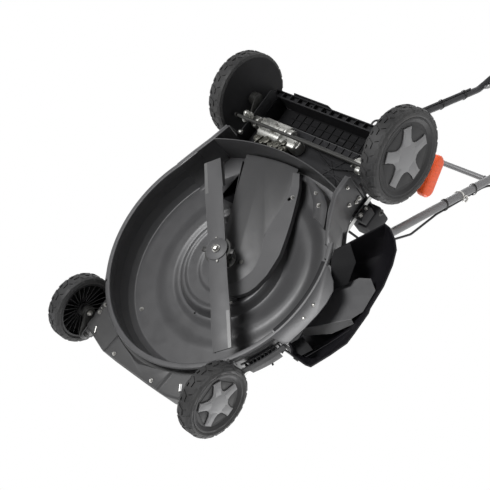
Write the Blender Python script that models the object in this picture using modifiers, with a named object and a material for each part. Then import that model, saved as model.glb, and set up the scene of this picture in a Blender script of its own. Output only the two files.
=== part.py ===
"""Petrol lawn mower with a steel deck, built as separate named pieces.

Working frame: X to the mower's right, Y forward, Z up, ground at z = 0 and the rear wheels'
axis at y = 0. The whole model hangs on one empty, which moves the middle of its base to the origin.
"""
import math

import bmesh
import bpy
from mathutils import Matrix, Vector

# Driving sizes, metres.
WHEELBASE = 0.684
REAR_R = 0.114
REAR_W = 0.048
FRONT_R = 0.086
FRONT_W = 0.045
TYRE_DEPTH_REAR = 0.0205
TYRE_DEPTH_FRONT = 0.0165
HUB_R = 0.016
STUB_R = 0.006
WEB_T = 0.003
WEB_DEPTH = 0.0085
RIM_WALL = 0.003

SHEET = 0.003
GAP = 0.0003
PLAY = 0.0003
SEAT = 0.0006

CRANK_Y = 0.396
CRANK_R = 0.0125
BLADE_LENGTH = 0.530
BLADE_WIDTH = 0.050
BLADE_T = 0.003
BLADE_Z = 0.0875
BLADE_TURN = math.radians(45.8)
BLADE_BOLT_R = 0.0045

RIM_Z = 0.077
RIM_R = 0.283
BEAD_W = 0.020
BEAD_H = 0.010
BULGE = 0.009
CEILING_Z = 0.165
CEILING_R = RIM_R - 0.015
DISH_Z = 0.152
DISH_R = 0.132
HUB_HOLE_R = 0.028

BODY_HALF = 0.200
BODY_BACK = -0.045
BODY_LOW = 0.122
SIDE_BACK = 0.109
BACK_R = 0.605
BACK_Y = CRANK_Y - RIM_R + 0.0015
LIP_T = 0.003
REAR_OUT = BODY_HALF + 0.077
FRONT_OUT = BODY_HALF + 0.0655

SHAFT_Y = 0.047
SHAFT_Z = 0.1403
SHAFT_R = 0.005
PINION_R = 0.012
PINION_L = 0.020
RING_WALL = 0.004
ARM_T = 0.004
ARM_IN = BODY_HALF + 0.0085
ARM_BOSS = 0.014
ARM_TRAVEL = math.radians(58.4)
FRONT_PIN_R = 0.005

TUBE_R = 0.0107
HANDLE_HALF = BODY_HALF + 0.013
HANDLE_FOOT = (0.132, 0.215)
HANDLE_KNEE = (0.118, 0.317)
FOLD = (-0.300, 0.624)
GRIP_KNEE = (-0.620, 0.868)
GRIP_END = (-0.800, 0.935)
KNOB_R = 0.022
KNOB_BOLT_R = 0.003
BAIL_R = 0.004
CABLE_R = 0.003

PULLEY_Z = 0.178
PULLEY_T = 0.016
CRANK_PULLEY_R = 0.034
GEAR_PULLEY_R = 0.040
GEAR_PULLEY_X = -0.040
GEAR_PULLEY_Y = 0.066
BELT_T = 0.008
BELT_H = 0.010

CASE_R = 0.086
CASE_LOW = 0.192
CASE_TOP = 0.268
FLYWHEEL_R = 0.084
SHROUD_TOP = 0.395
WALL = 0.003

SILL_Z = 0.077
SLIT_W = 0.008
OPEN_FROM = 0.303
OPEN_TO = 0.497
OPEN_LOW = 0.0905
OPEN_HIGH = 0.150

SIDES = ((1, "right"), (-1, "left"))
ROUND = 28
DECK_STEPS = 48


# Scene.
for old in list(bpy.data.objects):
    bpy.data.objects.remove(old, do_unlink=True)

parts = bpy.data.collections.new("petrol_lawn_mower")
cutters = bpy.data.collections.new("cutters")
bpy.context.scene.collection.children.link(parts)
bpy.context.scene.collection.children.link(cutters)

root = bpy.data.objects.new("mower_frame", None)
parts.objects.link(root)

TURN = {
    "Z": Matrix.Identity(3),
    "X": Matrix(((0, 0, 1), (1, 0, 0), (0, 1, 0))),
    "Y": Matrix(((1, 0, 0), (0, 0, -1), (0, 1, 0))),
}


def material(name, colour, rough, metal=0.0):
    """A plain Principled material."""
    mat = bpy.data.materials.new(name)
    mat.use_nodes = True
    shader = mat.node_tree.nodes["Principled BSDF"]
    shader.inputs["Base Color"].default_value = (*colour, 1.0)
    shader.inputs["Roughness"].default_value = rough
    shader.inputs["Metallic"].default_value = metal
    mat.diffuse_color = (*colour, 1.0)
    return mat


STEEL_PAINT = ("deck_paint", (0.10, 0.10, 0.105), 0.45)
BLACK_PLASTIC = ("black_plastic", (0.022, 0.022, 0.024), 0.5)
GREY_PLASTIC = ("grey_plastic", (0.24, 0.25, 0.26), 0.45)
RUBBER = ("tyre_rubber", (0.085, 0.085, 0.09), 0.7)
ZINC = ("zinc_steel", (0.55, 0.55, 0.56), 0.35, 1.0)
BLADE_STEEL = ("blade_steel", (0.08, 0.08, 0.085), 0.4, 0.8)
ALUMINIUM = ("cast_aluminium", (0.60, 0.60, 0.58), 0.42, 1.0)
ORANGE = ("orange_plastic", (1.0, 0.14, 0.03), 0.4)
TUBE_GREY = ("tube_grey", (0.30, 0.30, 0.31), 0.4, 0.4)
TUBE_BLACK = ("tube_black", (0.03, 0.03, 0.033), 0.4, 0.2)


def link(name, data, at, look):
    """One object in the parts collection, or a hidden cutter when it has no look."""
    obj = bpy.data.objects.new(name, data)
    obj.location = at
    if look is None:
        cutters.objects.link(obj)
        obj.hide_render = True
        obj.display_type = "WIRE"
    else:
        parts.objects.link(obj)
        data.materials.append(material("%s_%s" % (look[0], name), *look[1:]))
    obj.parent = root
    return obj


def smooth(mesh, angle=32):
    mesh.shade_smooth()
    mesh.set_sharp_from_angle(angle=math.radians(angle))


def from_bmesh(name, bm, look, at=(0, 0, 0)):
    """Object from a bmesh that was modelled in the working frame; its origin goes to 'at'."""
    bmesh.ops.translate(bm, verts=bm.verts, vec=-Vector(at))
    bmesh.ops.recalc_face_normals(bm, faces=bm.faces)
    mesh = bpy.data.meshes.new(name)
    bm.to_mesh(mesh)
    bm.free()
    smooth(mesh)
    return link(name, mesh, at, look)


def box(name, low, high, look=None, at=(0, 0, 0), bevel=0.0):
    bm = bmesh.new()
    bmesh.ops.create_cube(bm, size=1.0)
    size = Vector(high) - Vector(low)
    mid = (Vector(high) + Vector(low)) / 2
    bmesh.ops.scale(bm, verts=bm.verts, vec=size)
    bmesh.ops.translate(bm, verts=bm.verts, vec=mid)
    if bevel:
        bmesh.ops.bevel(bm, geom=bm.edges[:], offset=bevel, segments=2, profile=0.5, affect="EDGES")
    return from_bmesh(name, bm, look, at)


def rod(name, axis, centre, radius, length, look=None, at=(0, 0, 0), steps=20):
    """A cylinder along one axis."""
    bm = bmesh.new()
    bmesh.ops.create_cone(bm, cap_ends=True, segments=steps, radius1=radius, radius2=radius, depth=length)
    bmesh.ops.transform(bm, matrix=TURN[axis].to_4x4(), verts=bm.verts)
    bmesh.ops.translate(bm, verts=bm.verts, vec=centre)
    return from_bmesh(name, bm, look, at)


def hull(name, points, look=None, at=(0, 0, 0), bevel=0.0):
    """Convex block round a few corner points."""
    bm = bmesh.new()
    for p in points:
        bm.verts.new(p)
    made = bmesh.ops.convex_hull(bm, input=bm.verts)
    loose = [v for v in made["geom_interior"] if isinstance(v, bmesh.types.BMVert)]
    if loose:
        bmesh.ops.delete(bm, geom=loose, context="VERTS")
    bmesh.ops.dissolve_limit(bm, angle_limit=0.01, verts=bm.verts, edges=bm.edges)
    if bevel:
        bmesh.ops.bevel(bm, geom=bm.edges[:], offset=bevel, segments=2, profile=0.5, affect="EDGES")
    return from_bmesh(name, bm, look, at)


def turned(name, profile, axis, centre, look=None, steps=ROUND, side=1):
    """A profile of (radius, height) turned about an axis through 'centre'; side -1 mirrors the height."""
    pts = [(r, h * side) for r, h in profile]
    area = sum(a[0] * b[1] - b[0] * a[1] for a, b in zip(pts, pts[1:] + pts[:1]))
    if area > 0:
        pts.reverse()
    ring = min(r for r, h in pts) > 1e-6
    mesh = bpy.data.meshes.new(name)
    bm = bmesh.new()
    verts = [bm.verts.new((r, 0, h)) for r, h in pts]
    for a, b in zip(verts, verts[1:]):
        bm.edges.new((a, b))
    if ring:
        bm.edges.new((verts[-1], verts[0]))
    bm.to_mesh(mesh)
    bm.free()
    obj = link(name, mesh, centre, look)
    obj.rotation_euler = TURN[axis].to_euler()
    screw = obj.modifiers.new("turn", "SCREW")
    screw.steps = steps
    screw.render_steps = steps
    screw.use_merge_vertices = True
    screw.merge_threshold = 0.00002
    screw.use_smooth_shade = True
    return obj


def as_mesh(obj, name, look, at=(0, 0, 0)):
    """Mesh object from a curve, with its caps welded."""
    bpy.context.view_layer.update()
    graph = bpy.context.evaluated_depsgraph_get()
    mesh = bpy.data.meshes.new_from_object(obj.evaluated_get(graph))
    bm = bmesh.new()
    bm.from_mesh(mesh)
    bmesh.ops.transform(bm, matrix=obj.matrix_world, verts=bm.verts)
    bmesh.ops.remove_doubles(bm, verts=bm.verts, dist=0.00002)
    bpy.data.objects.remove(obj, do_unlink=True)
    return from_bmesh(name, bm, look, at)


def plate(name, loops, axis, low, high, look=None, at=(0, 0, 0)):
    """A flat outline with holes, extruded from low to high along an axis.

    The loops are in (x, y) for Z, (y, z) for X and (x, z) for Y.
    """
    curve = bpy.data.curves.new(name + "_outline", "CURVE")
    curve.dimensions = "2D"
    curve.fill_mode = "BOTH"
    curve.extrude = (high - low) / 2
    for pts in loops:
        spline = curve.splines.new("POLY")
        spline.points.add(len(pts) - 1)
        for p, (u, v) in zip(spline.points, pts):
            p.co = (u, v, 0, 1)
        spline.use_cyclic_u = True
    obj = bpy.data.objects.new(name + "_outline", curve)
    bpy.context.scene.collection.objects.link(obj)
    obj.rotation_euler = TURN[axis].to_euler()
    mid = (low + high) / 2
    obj.location = {"Z": (0, 0, mid), "X": (mid, 0, 0), "Y": (0, mid, 0)}[axis]
    return as_mesh(obj, name, look, at)


def rounded(points, radius, steps=4):
    """The points with each inner corner replaced by an arc."""
    pts = [Vector(p) for p in points]
    out = [pts[0]]
    for a, b, c in zip(pts, pts[1:], pts[2:]):
        u, v = (a - b).normalized(), (c - b).normalized()
        half = u.angle(v) / 2
        back = min(radius / math.tan(half), 0.49 * (a - b).length, 0.49 * (c - b).length)
        r = back * math.tan(half)
        centre = b + (u + v).normalized() * (r / math.sin(half))
        start, end = b + u * back - centre, b + v * back - centre
        sweep = start.angle(end)
        for i in range(steps + 1):
            t = i / steps
            w = (start * math.sin((1 - t) * sweep) + end * math.sin(t * sweep)) / math.sin(sweep)
            out.append(centre + w)
    return out + [pts[-1]]


def tube(name, points, radius, look=None, at=(0, 0, 0), resolution=2):
    curve = bpy.data.curves.new(name + "_path", "CURVE")
    curve.dimensions = "3D"
    curve.bevel_depth = radius
    curve.bevel_resolution = resolution
    curve.use_fill_caps = True
    spline = curve.splines.new("POLY")
    spline.points.add(len(points) - 1)
    for p, q in zip(spline.points, points):
        p.co = (*q, 1)
    obj = bpy.data.objects.new(name + "_path", curve)
    bpy.context.scene.collection.objects.link(obj)
    return as_mesh(obj, name, look, at)


def boolean(obj, tools, operation="DIFFERENCE"):
    for tool in tools:
        mod = obj.modifiers.new(tool.name, "BOOLEAN")
        mod.object = tool
        mod.operation = operation
        mod.solver = "EXACT"
    return obj


def fuse(obj, *tools):
    return boolean(obj, tools, "UNION")


def cut(obj, *tools):
    return boolean(obj, tools, "DIFFERENCE")


def arc(radius, start, stop, count, centre=(0.0, CRANK_Y)):
    """Points on a circle, degrees from +X."""
    angles = [math.radians(start + (stop - start) * i / (count - 1)) for i in range(count)]
    return [(centre[0] + radius * math.cos(a), centre[1] + radius * math.sin(a)) for a in angles]


def circle(radius, centre, count=16):
    return arc(radius, 0, 360 * (count - 1) / count, count, centre)


# Deck.
WALL_R = RIM_R + BULGE
TOP_Z = CEILING_Z + SHEET

deck = turned("deck_shell", [
    (HUB_HOLE_R, DISH_Z + SHEET), (DISH_R - 0.001, DISH_Z + SHEET), (DISH_R + 0.014, TOP_Z),
    (CEILING_R + 0.0015, TOP_Z), (RIM_R + 0.004, CEILING_Z - 0.0125), (WALL_R + SHEET, 0.126),
    (WALL_R + SHEET, 0.099), (RIM_R + 0.007, RIM_Z + BEAD_H), (RIM_R + BEAD_W - 0.003, RIM_Z + BEAD_H),
    (RIM_R + BEAD_W, RIM_Z + BEAD_H / 2), (RIM_R + BEAD_W - 0.003, RIM_Z), (RIM_R, RIM_Z), (WALL_R, 0.100),
    (WALL_R, 0.125), (RIM_R + 0.001, CEILING_Z - 0.015), (CEILING_R, CEILING_Z),
    (DISH_R + 0.015, CEILING_Z), (DISH_R, DISH_Z), (HUB_HOLE_R, DISH_Z)],
    "Z", (0, CRANK_Y, 0), STEEL_PAINT, steps=DECK_STEPS)

# The skirt leaves the circle towards the back: straight side walls, and a flatter wall between them.
BODY_TOP = TOP_Z - 0.0002
TOP_PLATE_BACK = 0.015
SIDE_LINE = {
    "right": [(BODY_HALF + 0.0005, SIDE_BACK), (BODY_HALF + 0.0005, 0.158), (BODY_HALF + 0.020, 0.2036),
              (RIM_R - 0.0355, 0.248), (RIM_R - 0.0175, 0.272)],
    "left": [(-BODY_HALF - 0.0005, SIDE_BACK), (-BODY_HALF - 0.0175, 0.1575), (0.0455 - RIM_R, 0.2034),
             (0.025 - RIM_R, 0.256)]}
LIP = {"right": (-0.0105, 0.0028), "left": (0.0002, 0.0105)}
BACK_FROM, BACK_TO = -151.0, -26.5
back_room = plate("back_room", [arc(CEILING_R - 0.0005, BACK_FROM, BACK_TO, 24)
                                + arc(RIM_R + 0.05, BACK_TO, BACK_FROM, 24)],
                  "Z", RIM_Z - 0.01, CEILING_Z + 0.0012)
cut(deck, back_room)


def shifted(line, side, distance):
    return [(x + side * distance, y) for x, y in line]


body_top = box("body_top", (-BODY_HALF - SHEET, TOP_PLATE_BACK, BODY_TOP - SHEET),
               (BODY_HALF + SHEET, 0.205, BODY_TOP))
back_top = plate("back_top", [shifted(SIDE_LINE["right"], 1, 0.0015)
                              + arc(CEILING_R - 0.010, BACK_TO + 1, BACK_FROM - 1, 24)
                              + shifted(SIDE_LINE["left"], -1, 0.0015)[::-1]],
                 "Z", CEILING_Z + 0.0002, BODY_TOP - 0.0002)
fuse(deck, body_top, back_top)
for side, word in SIDES:
    line = SIDE_LINE[word]
    low, high = LIP[word]
    wall = box("body_wall_" + word, (min(side * BODY_HALF, side * (BODY_HALF + SHEET)), BODY_BACK,
                                     BODY_LOW),
               (max(side * BODY_HALF, side * (BODY_HALF + SHEET)), SIDE_BACK + 0.002, BODY_TOP - 0.001))
    skirt = plate("side_skirt_" + word, [line + shifted(line, side, SHEET)[::-1]], "Z", RIM_Z + 0.0002,
                  BODY_TOP - 0.0005)
    lip = plate("side_lip_" + word, [shifted(line, side, low) + shifted(line, side, high)[::-1]], "Z", RIM_Z,
                RIM_Z + LIP_T)
    fuse(deck, wall, skirt, lip)


def back_line(radius, left, right, count=16):
    """Points of the back wall's curve, from left to right."""
    xs = [left + (right - left) * k / (count - 1) for k in range(count)]
    return [(x, BACK_Y + BACK_R - math.sqrt(radius ** 2 - x ** 2)) for x in xs]


back_wall = plate("back_wall", [back_line(BACK_R, -BODY_HALF - 0.0160, BODY_HALF + 0.0020)
                                + back_line(BACK_R - SHEET, -BODY_HALF - 0.0160, BODY_HALF + 0.0020)[::-1]],
                  "Z", RIM_Z + 0.0005, BODY_TOP - 0.0008)
fuse(deck, back_wall)
sill = plate("discharge_sill", [arc(RIM_R + BEAD_W - 0.004, -17, 19, 9)
                                + [(RIM_R + x, y) for x, y in (
                                    (-0.003, 0.507), (0.030, 0.507), (0.043, 0.496), (0.054, 0.455),
                                    (0.061, 0.416), (0.063, 0.386), (0.059, 0.355), (0.046, 0.337),
                                    (0.017, 0.316))]],
             "Z", SILL_Z + 0.0005, SILL_Z + 0.0005 + SHEET)
fuse(deck, sill)
slit = plate("sill_slit", [arc(RIM_R + SHEET + SLIT_W, -19, 20, 10) + arc(RIM_R + SHEET, 20, -19, 10)],
             "Z", RIM_Z - 0.01, OPEN_LOW + 0.01)
side_cut = box("side_opening", (RIM_R - 0.048, OPEN_FROM, OPEN_LOW), (RIM_R + 0.077, OPEN_TO, OPEN_HIGH))
roof_arc = arc(CEILING_R - 0.006, 251, 233, 5)
roof_cut = plate("roof_opening", [roof_arc + [(0.042 - BODY_HALF, 0.255), (-0.088, 0.255)]],
                 "Z", DISH_Z - 0.02, TOP_Z + 0.02)
cut(deck, slit, side_cut, roof_cut)
for side, word in SIDES:
    bore = rod("shaft_hole_" + word, "X", (side * BODY_HALF, SHAFT_Y, SHAFT_Z), SHAFT_R + PLAY, 0.02)
    cut(deck, bore)

# Front apron, a folded tray across the front.
APRON_Z = 0.098
APRON_HALF = BODY_HALF + 0.005
APRON_FRONT = WHEELBASE + 0.057
APRON_H = 0.050
PIVOT_DY = SHAFT_Y
PIVOT_DZ = SHAFT_Z - REAR_R
FRONT_PIVOT = (WHEELBASE + PIVOT_DY, FRONT_R + PIVOT_DZ)


def apron_outline(inset, reach):
    half = APRON_HALF - inset
    front = [(half, APRON_FRONT - 0.0275 - inset), (APRON_HALF - 0.087, APRON_FRONT - 0.0025 - inset),
             (0.060, APRON_FRONT - 0.0005 - inset)]
    left = [(-x, y) for x, y in reversed(front)]
    start = math.degrees(math.acos(half / reach))
    return front + left + arc(reach, 180 - start, start, 12)


apron = plate("front_apron", [apron_outline(0.0, WALL_R + SHEET + GAP)], "Z", APRON_Z, APRON_Z + APRON_H,
              STEEL_PAINT)
apron_hollow = plate("apron_hollow", [apron_outline(SHEET, RIM_R + BEAD_W + 0.002)], "Z",
                     APRON_Z + SHEET, APRON_Z + APRON_H + 0.05)
apron_relief = turned("apron_relief", [(0.20, 0.5), (WALL_R + SHEET + GAP, 0.5),
                                       (WALL_R + SHEET + GAP, 0.0),
                                       (0.20, 0.0)], "Z", (0, CRANK_Y, -0.1), steps=DECK_STEPS)
cut(apron, apron_hollow, apron_relief)
SWING_BACK = math.hypot(PIVOT_DY, PIVOT_DZ) - PIVOT_DY
for side, word in SIDES:
    room_at = (side * (FRONT_OUT - FRONT_W / 2), WHEELBASE - SWING_BACK + 0.0012, FRONT_R + PIVOT_DZ * 0.58)
    cut(deck, rod("front_tyre_room_" + word, "X", room_at, FRONT_R + 0.0015, FRONT_W + 0.003, steps=40))
    a, b = sorted((side * (APRON_HALF - 0.0002), side * (APRON_HALF - SHEET + 0.0002)))
    ear = [(WHEELBASE + y, z) for y, z in ((0.006, 0.1005), (0.0505, 0.1005), (0.0575, 0.105), (0.0595, 0.113),
                                           (0.0565, 0.121), (0.0480, 0.126), (0.006, 0.1455))]
    fuse(apron, plate("pivot_ear_" + word, [ear], "X", a, b))
    cut(apron, rod("front_pin_hole_" + word, "X", (side * APRON_HALF, FRONT_PIVOT[0], FRONT_PIVOT[1]),
                   FRONT_PIN_R + PLAY, 0.02))

# Plastic fairing over the front of the deck.
FAIRING_T = 0.0025
FAIRING_R = RIM_R + 0.0395
WHEEL_ROOM = FRONT_OUT - FRONT_W - 0.009
ROOM_Y = WHEELBASE - FRONT_R - 0.014
FAIRING_IN = min(CEILING_R - 0.012, math.hypot(WHEEL_ROOM - 0.015, ROOM_Y - CRANK_Y))
fairing = turned("front_fairing", [
    (FAIRING_IN, TOP_Z + GAP + FAIRING_T), (FAIRING_R - 0.0205, TOP_Z + GAP + FAIRING_T),
    (FAIRING_R - 0.0035, TOP_Z - 0.008), (FAIRING_R, 0.118), (FAIRING_R - FAIRING_T, 0.118),
    (FAIRING_R - 0.0035 - FAIRING_T, TOP_Z - 0.010), (FAIRING_R - 0.0215, TOP_Z + GAP),
    (FAIRING_IN, TOP_Z + GAP)], "Z", (0, CRANK_Y, 0), BLACK_PLASTIC, steps=DECK_STEPS)
fairing_back = box("fairing_back", (-0.4, 0.0, 0.05), (0.4, 0.508, 0.3))
cut(fairing, fairing_back)
for side, word in SIDES:
    a, b = sorted((side * WHEEL_ROOM, side * 0.4))
    cut(fairing, box("fairing_wheel_room_" + word, (a, ROOM_Y, 0.05), (b, ROOM_Y + 0.25, 0.3)))
a_low = box("fairing_apron_room", (-APRON_HALF - 0.025, WHEELBASE - 0.084, 0.05),
            (APRON_HALF + 0.025, WHEELBASE + 0.116, APRON_Z + APRON_H + 0.002))
cut(fairing, a_low)

# Baffle and belt cover under the ceiling.
BAFFLE_Z = 0.118
baffle = plate("rear_baffle", [[(0.075, 0.178), (0.102, 0.158), (0.128, 0.152), (0.170, 0.180),
                                (0.197, 0.228), (0.165, 0.232), (0.112, 0.193)]], "Z",
               BAFFLE_Z, BAFFLE_Z + SHEET)
fuse(deck, baffle, box("baffle_post", (0.128, 0.188, BAFFLE_Z + 0.001), (0.140, 0.196, CEILING_Z + 0.001)))
COVER_Z = 0.137
cover_line = [(0.060, 0.435), (0.110, 0.434), (0.110, 0.345), (0.088, 0.242), (0.065, 0.205),
              (0.048, 0.159), (0.008, 0.139), (0.022, 0.225), (0.032, 0.279), (0.052, 0.340), (0.060,
                                                                                               0.385)]
belt_cover = plate("belt_cover", [cover_line], "Z", COVER_Z, COVER_Z + 0.002, STEEL_PAINT)
fuse(belt_cover, box("cover_lip_front", (0.068, 0.424, COVER_Z + 0.001), (0.102, 0.427, DISH_Z - GAP)),
     box("cover_lip_back", (0.024, 0.180, COVER_Z + 0.001), (0.040, 0.183, CEILING_Z - GAP)))

# Discharge tunnel through the back, and its flap.
TUNNEL_L = 0.028 - BODY_HALF
TUNNEL_R = -0.075
TUNNEL_TOP = 0.262
TUNNEL_FLOOR = 0.192
EXIT_Y = -0.058
EXIT_L = 0.010 - BODY_HALF
EXIT_R = 0.170
EXIT_LOW = 0.226
EXIT_TOP = 0.345
SEAT_Z = TOP_Z + GAP
ELBOW_Y = 0.100
RAMP_Y = 0.275


def tunnel_front(w, base):
    low = base
    return [(x, y, low) for x in (TUNNEL_L + w, TUNNEL_R - w) for y in (ELBOW_Y + w, RAMP_Y - 3 * w)] \
        + [(x, ELBOW_Y + w, TUNNEL_TOP - w) for x in (TUNNEL_L + w, TUNNEL_R - w)] \
        + [(x, RAMP_Y - 3 * w, SEAT_Z + 0.006 - w) for x in (TUNNEL_L + w, TUNNEL_R - w)]


def tunnel_back(w, extra_front, extra_back):
    front = [(x, ELBOW_Y + extra_front, z) for x in (TUNNEL_L + w, TUNNEL_R - w)
             for z in (TUNNEL_FLOOR + w, TUNNEL_TOP - w)]
    back = [(x, EXIT_Y - extra_back, z) for x in (EXIT_L + w, EXIT_R - w) for z in (EXIT_LOW + w,
                                                                                    EXIT_TOP - w)]
    return front + back


tunnel = hull("rear_tunnel", tunnel_front(0.0, SEAT_Z), BLACK_PLASTIC)
fuse(tunnel, hull("tunnel_duct", tunnel_back(0.0, 0.002, 0.0)))
cut(tunnel, hull("tunnel_front_hollow", tunnel_front(WALL, SEAT_Z - 0.02)),
    hull("tunnel_duct_hollow", tunnel_back(WALL, 0.008, 0.004)))
FLAP_AXIS = (EXIT_Y - 0.008, EXIT_TOP + 0.012)
FLAP_PIN_R = 0.004
for x, word in ((EXIT_L + 0.003, "left"), (EXIT_R - 0.003, "right")):
    fuse(tunnel, hull("flap_ear_" + word, [(x + dx, y, z) for dx in (-0.003, 0.003) for y, z in (
        (EXIT_Y + 0.020, EXIT_TOP - 0.012), (FLAP_AXIS[0] - 0.007, FLAP_AXIS[1] - 0.007),
        (FLAP_AXIS[0] - 0.007, FLAP_AXIS[1] + 0.007), (FLAP_AXIS[0] + 0.007, FLAP_AXIS[1] + 0.008),
        (EXIT_Y + 0.002, EXIT_TOP - 0.012))]))
    cut(tunnel, rod("flap_ear_hole_" + word, "X", (x, *FLAP_AXIS), FLAP_PIN_R + PLAY, 0.02))
FLAP_L = EXIT_L + 0.006 + SEAT
FLAP_R = EXIT_R - 0.006 - SEAT
flap_at = ((FLAP_L + FLAP_R) / 2, *FLAP_AXIS)
rear_flap = box("rear_flap", (FLAP_L, FLAP_AXIS[0] - 0.003, EXIT_LOW - 0.004),
                (FLAP_R, FLAP_AXIS[0] + 0.001, FLAP_AXIS[1]), BLACK_PLASTIC, flap_at)
fuse(rear_flap, rod("flap_pin", "X", flap_at, FLAP_PIN_R, EXIT_R - EXIT_L - 0.001),
     rod("flap_barrel", "X", flap_at, FLAP_PIN_R + 0.003, FLAP_R - FLAP_L))
flap_ribs = [box("flap_rib_%d" % i, (x - 0.0015, FLAP_AXIS[0] - 0.010, EXIT_LOW + 0.012),
                 (x + 0.0015, FLAP_AXIS[0] - 0.001, FLAP_AXIS[1] - 0.010))
             for i, x in enumerate([FLAP_L + 0.05 + 0.06 * k for k in range(5)])]
fuse(rear_flap, *flap_ribs)

# Ribbed plastic bar across the back.
PANEL_HALF = BODY_HALF + 0.022
panel = hull("rear_panel", [(x, y, z) for x in (-PANEL_HALF, PANEL_HALF) for y, z in (
    (BODY_BACK - GAP, 0.158), (BODY_BACK - GAP, 0.212), (BODY_BACK - 0.012, 0.216), (BODY_BACK - 0.012,
                                                                                     0.200),
    (BODY_BACK - 0.004, 0.158))], BLACK_PLASTIC)
panel_ribs = [box("panel_rib_%d" % i, (x - 0.002, BODY_BACK - 0.016, 0.172),
                  (x + 0.002, BODY_BACK - 0.002, 0.214))
              for i, x in enumerate([-0.20 + 0.05 * k for k in range(9)])]
fuse(panel, *panel_ribs)
fuse(panel, box("panel_top", (-0.185, BODY_BACK - 0.012, 0.209), (0.165, BODY_BACK + 0.030, 0.2125)))
for side, word in SIDES:
    a, b = sorted((side * (BODY_HALF + SHEET + GAP), side * (BODY_HALF + SHEET + 0.0035)))
    fuse(panel, box("panel_cheek_" + word, (a, BODY_BACK - 0.004, 0.162), (b, BODY_BACK + 0.012, 0.205)))

# Blade, hub, crankshaft.
SPIN_AT = (0, CRANK_Y, BLADE_Z)
half_l, half_w = BLADE_LENGTH / 2, BLADE_WIDTH / 2
blade_line = [(-half_l, -half_w * 0.9), (-half_l * 0.66, -half_w), (-half_l * 0.3, -half_w * 0.92),
              (half_l * 0.3, -half_w * 0.92), (half_l * 0.66, -half_w), (half_l, -half_w * 0.9)]
blade_line += [(-x, -y) for x, y in blade_line]
turn = Matrix.Rotation(BLADE_TURN, 2)
moved = [turn @ Vector(p) for p in blade_line]
holes = [circle(BLADE_BOLT_R + PLAY, (0, 0))]
for x in (-0.030, 0.030):
    spot = turn @ Vector((x, 0))
    holes.append(circle(0.0035, (spot.x, spot.y), 10))


def at_crank(loop):
    return [(x, y + CRANK_Y) for x, y in loop]


blade = plate("blade", [at_crank(moved)] + [at_crank(h) for h in holes], "Z", BLADE_Z, BLADE_Z + BLADE_T,
              BLADE_STEEL, SPIN_AT)
for end in (-1, 1):
    wing = turn @ Vector((end * half_l * 0.83, end * half_w * 0.80))
    tip = hull("blade_wing_%s" % ("a" if end < 0 else "b"), [
        (*(turn @ Vector((end * half_l * s, end * half_w * w)) + Vector((0, CRANK_Y))), BLADE_Z + z)
        for s in (0.70, 0.985) for w, z in ((0.45, 0.0005), (0.50, BLADE_T - 0.0002), (1.02, 0.016),
                                            (1.02, 0.013))])
    fuse(blade, tip)
ADAPTER_Z = BLADE_Z + BLADE_T + GAP
adapter = turned("blade_adapter", [
    (CRANK_R + PLAY, ADAPTER_Z + 0.032), (0.019, ADAPTER_Z + 0.032), (0.019, ADAPTER_Z + 0.008),
    (0.034, ADAPTER_Z + 0.006), (0.034, ADAPTER_Z), (CRANK_R + PLAY, ADAPTER_Z)],
    "Z", (0, CRANK_Y, 0), ZINC, steps=20)
CRANK_LOW = ADAPTER_Z + 0.001
crank = turned("crankshaft", [
    (0.0, 0.352), (0.008, 0.352), (0.009, 0.320), (CRANK_R - 0.001, 0.290), (CRANK_R, 0.270), (CRANK_R,
                                                                                               CRANK_LOW),
    (BLADE_BOLT_R + PLAY, CRANK_LOW), (BLADE_BOLT_R + PLAY, CRANK_LOW + 0.035), (0.0, CRANK_LOW + 0.036)],
    "Z", (0, CRANK_Y, 0), ZINC, steps=20)
bolt = turned("blade_bolt", [
    (0.0, CRANK_LOW + 0.030), (BLADE_BOLT_R, CRANK_LOW + 0.030), (BLADE_BOLT_R, BLADE_Z - GAP),
    (0.017, BLADE_Z - GAP), (0.0165, BLADE_Z - 0.004), (0.009, BLADE_Z - 0.0045), (0.0085, BLADE_Z - 0.013),
    (0.007, BLADE_Z - 0.0145), (0.0, BLADE_Z - 0.0145)], "Z", (0, CRANK_Y, 0), ZINC, steps=16)


def pulley(name, radius, bore, centre, look):
    half = PULLEY_T / 2
    groove = radius - BELT_T - GAP
    return turned(name, [
        (bore, half), (radius, half), (radius, half - 0.0015), (groove, BELT_H / 2 - 0.0025),
        (groove, 0.0025 - BELT_H / 2), (radius, 0.0015 - half), (radius, -half), (bore, -half)],
        "Z", centre, look, steps=20)


crank_pulley = pulley("crank_pulley", CRANK_PULLEY_R, CRANK_R + PLAY, (0, CRANK_Y, PULLEY_Z), ZINC)
GEAR_SHAFT_R = 0.005
gear_pulley = pulley("gearbox_pulley", GEAR_PULLEY_R, GEAR_SHAFT_R + PLAY,
                     (GEAR_PULLEY_X, GEAR_PULLEY_Y, PULLEY_Z),
                     BLACK_PLASTIC)


def belt_loop(r1, r2, count=12):
    """Outline of a belt round the two pulleys' centres."""
    c1, c2 = Vector((0, CRANK_Y)), Vector((GEAR_PULLEY_X, GEAR_PULLEY_Y))
    span = c2 - c1
    base = math.atan2(span.y, span.x)
    lean = math.acos((r1 - r2) / span.length)
    first = arc(r1, math.degrees(base + lean), math.degrees(base - lean) + 360, count, c1)
    second = arc(r2, math.degrees(base - lean), math.degrees(base + lean), count, c2)
    return first + second


BELT_OUT = 0.0015
belt = plate("drive_belt", [
    belt_loop(CRANK_PULLEY_R - BELT_OUT, GEAR_PULLEY_R - BELT_OUT),
    belt_loop(CRANK_PULLEY_R - BELT_T + 0.0005, GEAR_PULLEY_R - BELT_T + 0.0005)], "Z",
    PULLEY_Z - 0.0022, PULLEY_Z + 0.0022, ("belt_rubber", (0.02, 0.02, 0.02), 0.8))

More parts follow.
